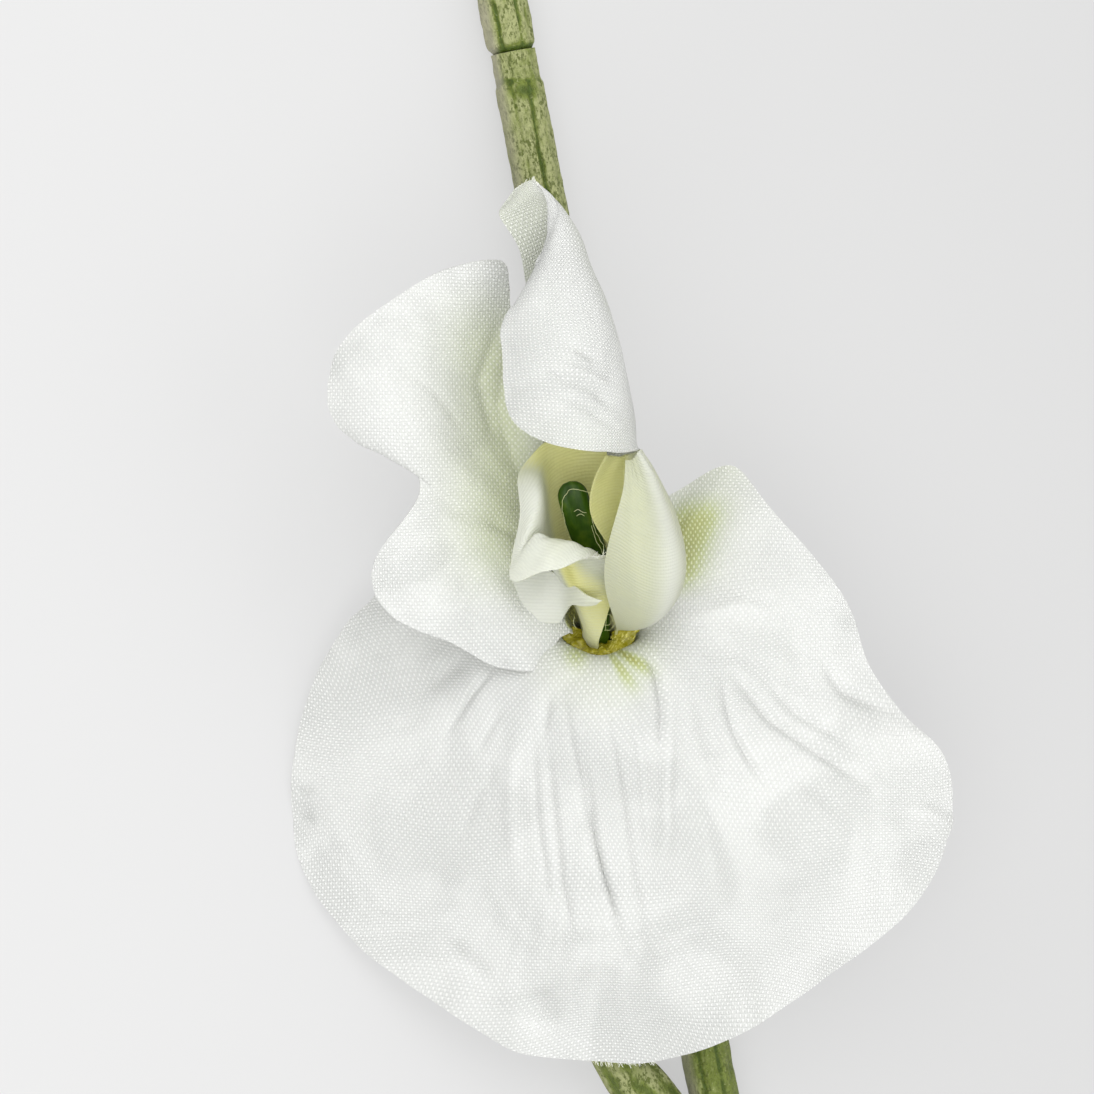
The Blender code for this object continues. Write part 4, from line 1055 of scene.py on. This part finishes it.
def set_glue():
    """Hot-melt glue: amber, slightly cloudy, with a smooth wet surface."""
    glue = Finish("amber_glue")
    place = glue.place()
    cloud = glue.speckle(place, 900.0, 4.0, 0.6)
    streaks = glue.speckle(glue.lengthwise(place, 0.16, 1.5, -0.85), 900.0, 3.0, 0.6)
    middle = float(laid_down([(0, 0, 0)])[0][0])
    across = glue.node("ShaderNodeSeparateXYZ", None, {"Vector": place}, out=0)
    # Painted light and shade: the glue darker on its left side, and bright yellow streaks, strongest on the
    # right, that stand as painted highlights; the cloudy patches are the glue's own.
    side = glue.ease(across, middle - 1.4 * MM, middle + 1.0 * MM)
    colour = glue.blend(side, (0.27, 0.24, 0.008, 1), (0.38, 0.345, 0.012, 1))
    colour = glue.blend(glue.ease(cloud, 0.42, 0.66), colour, (0.58, 0.52, 0.05, 1))
    colour = glue.blend(glue.ease(streaks, 0.52, 0.62) * (side * 0.8 + 0.2), colour, (0.92, 0.86, 0.22, 1))
    return glue.close(glue.principled({
        "Base Color": colour, "Roughness": 0.10 + cloud * 0.15, "Transmission Weight": 0.35, "IOR": 1.48,
        "Coat Weight": 0.1, "Coat Roughness": 0.05, "Specular IOR Level": 0.3,
        "Normal": glue.relief(cloud + streaks, 0.09 * MM)}))


def glue_band():
    """Rings of a flat lumpy band that lies tilted along the lower edge of the throat."""
    angles = np.linspace(GLUE_FROM, GLUE_TO, 150)
    share = np.linspace(-1, 1, len(angles))
    radius = 1.40 + 0.65 * np.abs(share) ** 1.5 + 0.07 * ripple(81, 6, (angles, 0.09))
    height = 0.72 + 0.85 * np.abs(share) ** 2.2 + 0.12 * ripple(82, 6, (angles, 0.12))
    turn = np.linspace(0, 2 * math.pi, 40, endpoint=False)
    size = (1 + 0.08 * ripple(83, 6, (angles, 0.16))) * np.sqrt(np.clip((1 - np.abs(share)) / 0.06, 0.04, 1))
    lumps = 1 + 0.08 * np.sin(6 * turn + angles[:, None] / 9)
    for seed, pace, round_pace in ((84, 0.14, 2.5), (85, 0.4, 4.0)):
        lumps = lumps + 0.07 * ripple(seed, 10, (angles[:, None], pace), (np.cos(turn)[None], round_pace),
                                      (np.sin(turn)[None], round_pace))
    wide = GLUE_HALF_WIDTH * np.cos(turn)[None, :, None] * ring_point(angles, 1.0, GLUE_TILT)[:, None]
    thick = GLUE_HALF_THICK * np.sin(turn)[None, :, None] * ring_point(angles, -GLUE_TILT, 1.0)[:, None]
    return ring_point(angles, radius, height)[:, None] + (size[:, None] * lumps)[:, :, None] * (wide + thick)


glue_piece = piece_from("throat_glue_band", *capped(glue_band()), set_glue())
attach(glue_piece, "root")
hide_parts("throat_glue")

# ---------------------------------------------------------------------------------------------
# Glue strings. When the glue gun is pulled away it draws fine hairs of glue, which lie across the
# tongue and the dark gaps beside it. Each is a round thread that wavers along its own line.
# ---------------------------------------------------------------------------------------------
STRING_RADIUS = 0.02
STRINGS = (
    ((-2.0, 7.2, 4.45), (-2.5, 8.25, 4.9), (-2.75, 9.4, 5.35), (-2.85, 10.3, 5.75), (-2.55, 10.95, 6.15),
     (-2.05, 11.3, 6.45), (-1.4, 11.2, 6.4), (-0.75, 11.05, 6.2)),
    ((-0.75, 11.05, 6.2), (-0.69, 10.3, 6.0), (-0.56, 9.0, 5.5), (-0.2, 7.9, 5.2), (0.2, 7.1, 5.6),
     (0.28, 6.2, 6.4)),
    ((-0.62, 8.6, 5.3), (-0.35, 7.6, 5.0), (0.0, 6.9, 5.2), (0.25, 6.3, 6.2)),
    ((-1.95, 9.62, 5.42), (-1.6, 9.78, 5.5), (-1.35, 9.6, 5.45), (-1.05, 9.55, 5.4)),
    ((-1.75, 9.3, 5.35), (-1.45, 9.45, 5.42), (-1.2, 9.3, 5.35)),
    ((0.38, 0.66, 2.4), (0.47, 1.69, 2.9), (0.66, 1.88, 3.2), (0.94, 1.6, 3.3), (1.22, 1.31, 3.3),
     (0.75, 0.75, 2.8), (0.3, 0.75, 2.5)),
    ((0.1, 1.2, 2.7), (0.6, 1.1, 2.8), (1.0, 1.45, 3.1), (1.5, 0.9, 3.2)),
    ((-1.87, 1.75, 2.2), (-1.95, 1.3, 2.2), (-1.8, 0.9, 2.0)),
)


class Growth:
    """A geometry node tree under construction, with named inputs."""

    def __init__(self, name, inputs):
        self.tree = bpy.data.node_groups.new(name, "GeometryNodeTree")
        self.tree.interface.new_socket("Geometry", in_out="INPUT", socket_type="NodeSocketGeometry")
        self.tree.interface.new_socket("Geometry", in_out="OUTPUT", socket_type="NodeSocketGeometry")
        self.keys = {}
        for label, kind in inputs.items():
            made = self.tree.interface.new_socket(label, in_out="INPUT", socket_type="NodeSocket" + kind)
            self.keys[label] = made.identifier
        self.start = self.tree.nodes.new("NodeGroupInput")

    def given(self, label):
        return self.start.outputs[label]

    def node(self, kind, settings=None, sockets=None, out=0):
        return add_node(self.tree, kind, settings, sockets).outputs[out]

    def finish(self, shape):
        real = self.node("GeometryNodeRealizeInstances", None, {0: shape})
        painted = self.node("GeometryNodeSetMaterial", None, {
            "Geometry": real, "Material": self.given("Material")})
        end = self.tree.nodes.new("NodeGroupOutput")
        self.tree.links.new(painted, end.inputs[0])

    def grow(self, name, base, values):
        """Runs the tree on a base mesh and gives back the result as a plain mesh object."""
        holder = bpy.data.objects.new(name, base)
        bpy.context.scene.collection.objects.link(holder)
        grown = holder.modifiers.new("grow", "NODES")
        grown.node_group = self.tree
        for label, value in values.items():
            grown[self.keys[label]] = value
        graph = bpy.context.evaluated_depsgraph_get()
        mesh = bpy.data.meshes.new_from_object(holder.evaluated_get(graph))
        holder.modifiers.remove(grown)
        holder.data = mesh
        mesh.polygons.foreach_set("use_smooth", [True] * len(mesh.polygons))
        return holder


def hair_finish():
    """Thin clear glue, cloudy here and there."""
    hair = Finish("glue_hair")
    tone = hair.speckle(hair.place(), 1500.0)
    return hair.close(hair.principled({
        "Base Color": hair.blend(tone, (0.60, 0.63, 0.38, 1), (0.42, 0.44, 0.16, 1)), "Roughness": 0.3,
        "Coat Weight": 0.2}))


def hair_tree():
    """Makes each line of edges a round thread that wavers."""
    tree = Growth("hair", {"Radius": "Float", "Step": "Float", "Waver": "Float", "Material": "Material"})
    line = tree.node("GeometryNodeMeshToCurve", None, {"Mesh": tree.given("Geometry")})
    line = tree.node("GeometryNodeCurveSplineType", {"spline_type": "CATMULL_ROM"}, {"Curve": line})
    line = tree.node("GeometryNodeResampleCurve", {"mode": "LENGTH"}, {
        "Curve": line, "Length": tree.given("Step")})
    place = tree.node("GeometryNodeInputPosition")
    noise = tree.node("ShaderNodeTexNoise", None, {"Vector": place, "Scale": 1500.0, "Detail": 1.0}, out=1)
    noise = tree.node("ShaderNodeVectorMath", {"operation": "SUBTRACT"}, {0: noise, 1: (0.5, 0.5, 0.5)})
    shift = tree.node("ShaderNodeVectorMath", {"operation": "SCALE"}, {
        0: noise, "Scale": tree.given("Waver")})
    line = tree.node("GeometryNodeSetPosition", None, {"Geometry": line, "Offset": shift})
    round_one = tree.node("GeometryNodeCurvePrimitiveCircle", None, {
        "Resolution": 6, "Radius": tree.given("Radius")})
    tree.finish(tree.node("GeometryNodeCurveToMesh", None, {
        "Curve": line, "Profile Curve": round_one, "Fill Caps": True}))
    return tree


def lines_mesh(name, chains):
    """A mesh of bare edges, one chain after another, in the part's frame."""
    points = []
    edges = []
    for chain in chains:
        edges += [(len(points) + k, len(points) + k + 1) for k in range(len(chain) - 1)]
        points += list(chain)
    mesh = bpy.data.meshes.new(name)
    mesh.from_pydata(laid_down(points).tolist(), edges, [])
    return mesh


strings = hair_tree().grow("glue_strings", lines_mesh("glue_strings", STRINGS), {
    "Radius": STRING_RADIUS * MM, "Step": 0.12 * MM, "Waver": 0.25 * MM, "Material": hair_finish()})
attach(strings, "root")

# ---------------------------------------------------------------------------------------------
# Frayed threads. Where the die left a raw edge, loose fibres stand out of the weave: at the tip of
# the rolled wing, the lip of the left keel, the foot of the left wing and low on the banner.
# ---------------------------------------------------------------------------------------------
FIBRE_RADIUS = 0.022


def fray_tree():
    """Sets a small bent fibre on each point, aimed outward with a random spread."""
    tree = Growth("fray", {"Radius": "Float", "Length": "Float", "Spread": "Float", "Seed": "Int",
                           "Material": "Material"})
    outward = tree.node("GeometryNodeInputNamedAttribute", {"data_type": "FLOAT_VECTOR"}, {"Name": "outward"})
    bend = tree.node("FunctionNodeRandomValue", {"data_type": "FLOAT_VECTOR"}, {
        "Min": (-1, -1, -1), "Max": (1, 1, 1), "Seed": tree.given("Seed")})
    bend = tree.node("ShaderNodeVectorMath", {"operation": "SCALE"}, {0: bend, "Scale": tree.given("Spread")})
    aim = tree.node("ShaderNodeVectorMath", {"operation": "ADD"}, {0: outward, 1: bend})
    turn = tree.node("FunctionNodeAlignRotationToVector", {"axis": "Z"}, {"Vector": aim})
    size = tree.node("FunctionNodeRandomValue", {"data_type": "FLOAT"}, {
        2: 0.25, 3: 1.0, "Seed": tree.given("Seed")}, out=1)
    fibre = tree.node("GeometryNodeCurveQuadraticBezier", None, {
        "Resolution": 6, "Start": (0, 0, -0.3), "Middle": (0.0, 0.05, 0.5), "End": (0.35, 0.1, 1.0)})
    thin = tree.node("ShaderNodeMath", {"operation": "DIVIDE"}, {
        0: tree.given("Radius"), 1: tree.given("Length")})
    ring = tree.node("GeometryNodeCurvePrimitiveCircle", None, {"Resolution": 5, "Radius": thin})
    fibre = tree.node("GeometryNodeCurveToMesh", None, {
        "Curve": fibre, "Profile Curve": ring, "Fill Caps": True})
    scale = tree.node("ShaderNodeMath", {"operation": "MULTIPLY"}, {0: size, 1: tree.given("Length")})
    tree.finish(tree.node("GeometryNodeInstanceOnPoints", None, {
        "Points": tree.given("Geometry"), "Instance": fibre, "Rotation": turn, "Scale": scale}))
    return tree


def fibre_finish():
    """Dull polyester fibre, faintly dyed here and there."""
    fibre = Finish("loose_fibre")
    tone = fibre.speckle(fibre.place(), 1200.0)
    return fibre.close(fibre.principled({
        "Base Color": fibre.blend(tone, (0.80, 0.80, 0.76, 1), (0.66, 0.67, 0.56, 1)), "Roughness": 0.45,
        "Sheen Weight": 0.3}))


def rooted(name, line, outward, count, seed):
    """Points spread unevenly along an edge, each with the direction its fibre grows in."""
    draw = np.random.default_rng(seed)
    spots = np.sort(draw.uniform(0, len(line) - 1, count))
    index = np.arange(len(line))
    points = np.stack([np.interp(spots, index, line[:, k]) for k in range(3)], axis=1)
    ways = np.stack([np.interp(spots, index, outward[:, k]) for k in range(3)], axis=1)
    mesh = bpy.data.meshes.new(name)
    mesh.from_pydata(laid_down(points).tolist(), [], [])
    ways = laid_down(points + ways) - laid_down(points)
    ways /= np.linalg.norm(ways, axis=1, keepdims=True)
    layer = mesh.attributes.new("outward", "FLOAT_VECTOR", "POINT")
    layer.data.foreach_set("vector", ways.ravel().astype(np.float32))
    return mesh


fray = fray_tree()
fibre_look = fibre_finish()
# All the fibres are of the same white thread.
for name, (line, outward), count, length, spread, seed in (
        ("banner_fray", banner_edge, 70, 0.42, 0.6, 5), ("wing_tip_fray", wing_tip, 46, 0.34, 0.35, 6),
        ("keel_lip_fray", keel_lip, 34, 0.5, 0.7, 7), ("wing_foot_fray", wing_foot, 36, 0.4, 0.6, 8)):
    grown = fray.grow(name, rooted(name, line, outward, count, seed), {
        "Radius": FIBRE_RADIUS * MM, "Length": length * MM, "Spread": spread, "Seed": seed,
        "Material": fibre_look})
    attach(grown, "root")
    "banner_petal" if "banner" in name else "wing_petal_left"

# ---------------------------------------------------------------------------------------------
# Surface, light and camera. The flower lies on a plain pale surface that glows as painted light, under one
# broad soft light from the upper left, with even light all round, and is seen from straight above the throat.
# ---------------------------------------------------------------------------------------------
VIEW_CENTRE = np.array([-3.98, 6.98, 3.0])
VIEW_DISTANCE = 1100.0
VIEW_WIDTH = 82.05
SENSOR = 36.0
FLOOR_SIZE = 6.0


def from_above(distance):
    """A spot straight above the middle of the view, at a distance in millimetres."""
    return laid_down([VIEW_CENTRE + (0, 0, distance)])[0]


def aimed(holder, place, target, up):
    """Puts a camera or light at a place, looking at a target with the given direction upwards."""
    back = np.array(place) - np.array(target)
    back /= np.linalg.norm(back)
    side = np.cross(up, back)
    side /= np.linalg.norm(side)
    turn = np.eye(4)
    turn[:3, :3] = np.stack([side, np.cross(back, side), back], axis=1)
    turn[:3, 3] = place
    holder.matrix_world = Matrix(turn.tolist())


def pale_board():
    """A plain pale surface that glows as painted light, a little less towards the right."""
    board = Finish("pale_board")
    place = board.place()
    across = board.node("ShaderNodeSeparateXYZ", None, {"Vector": place}, out=0)
    # The surface glows: painted light that fills in the flower's shadows, brighter at the left and fading
    # towards the right.
    tone = board.ease(across, -0.06, 0.06)
    glow = board.blend(tone, (0.560, 0.560, 0.560, 1), (0.451, 0.451, 0.451, 1))
    return board.close(board.principled({
        "Base Color": (0.18, 0.18, 0.18, 1), "Roughness": 0.85 + 0.1 * board.speckle(place, 400.0),
        "Emission Color": glow, "Emission Strength": 1.0, "Specular IOR Level": 0.1}))


bpy.ops.mesh.primitive_plane_add(size=FLOOR_SIZE, location=(0, 0, 0))
floor = bpy.context.object
floor.name = "surface"
floor.data.materials.append(pale_board())

scene = bpy.context.scene
scene.view_settings.view_transform = "Standard"
world = bpy.data.worlds.new("even_light")
world.use_nodes = True
sky = world.node_tree.nodes["Background"]
sky.inputs["Color"].default_value = (1.0, 0.998, 0.99, 1)
sky.inputs["Strength"].default_value = 0.68
scene.world = world

throat = laid_down([(0, 0, 0)])[0]
stem_up = laid_down([(0, 1, 0)])[0] - throat
for name, spot, size, power in (
        ("broad_light", (-60, 520, 820), 1.2, 6.0), ("front_fill", (-120, -420, 900), 0.9, 6.2),
        ("side_fill", (820, 40, 520), 0.9, 3.2)):
    lamp = bpy.data.lights.new(name, "AREA")
    lamp.shape = "DISK"
    lamp.size = size
    lamp.energy = power
    holder = bpy.data.objects.new(name, lamp)
    scene.collection.objects.link(holder)
    aimed(holder, laid_down([spot])[0], throat, stem_up)

camera = bpy.data.objects.new("camera", bpy.data.cameras.new("camera"))
camera.data.sensor_width = SENSOR
camera.data.lens = SENSOR * VIEW_DISTANCE / VIEW_WIDTH
camera.data.clip_end = 10.0
scene.collection.objects.link(camera)
aimed(camera, from_above(VIEW_DISTANCE), from_above(0), stem_up)
scene.camera = camera
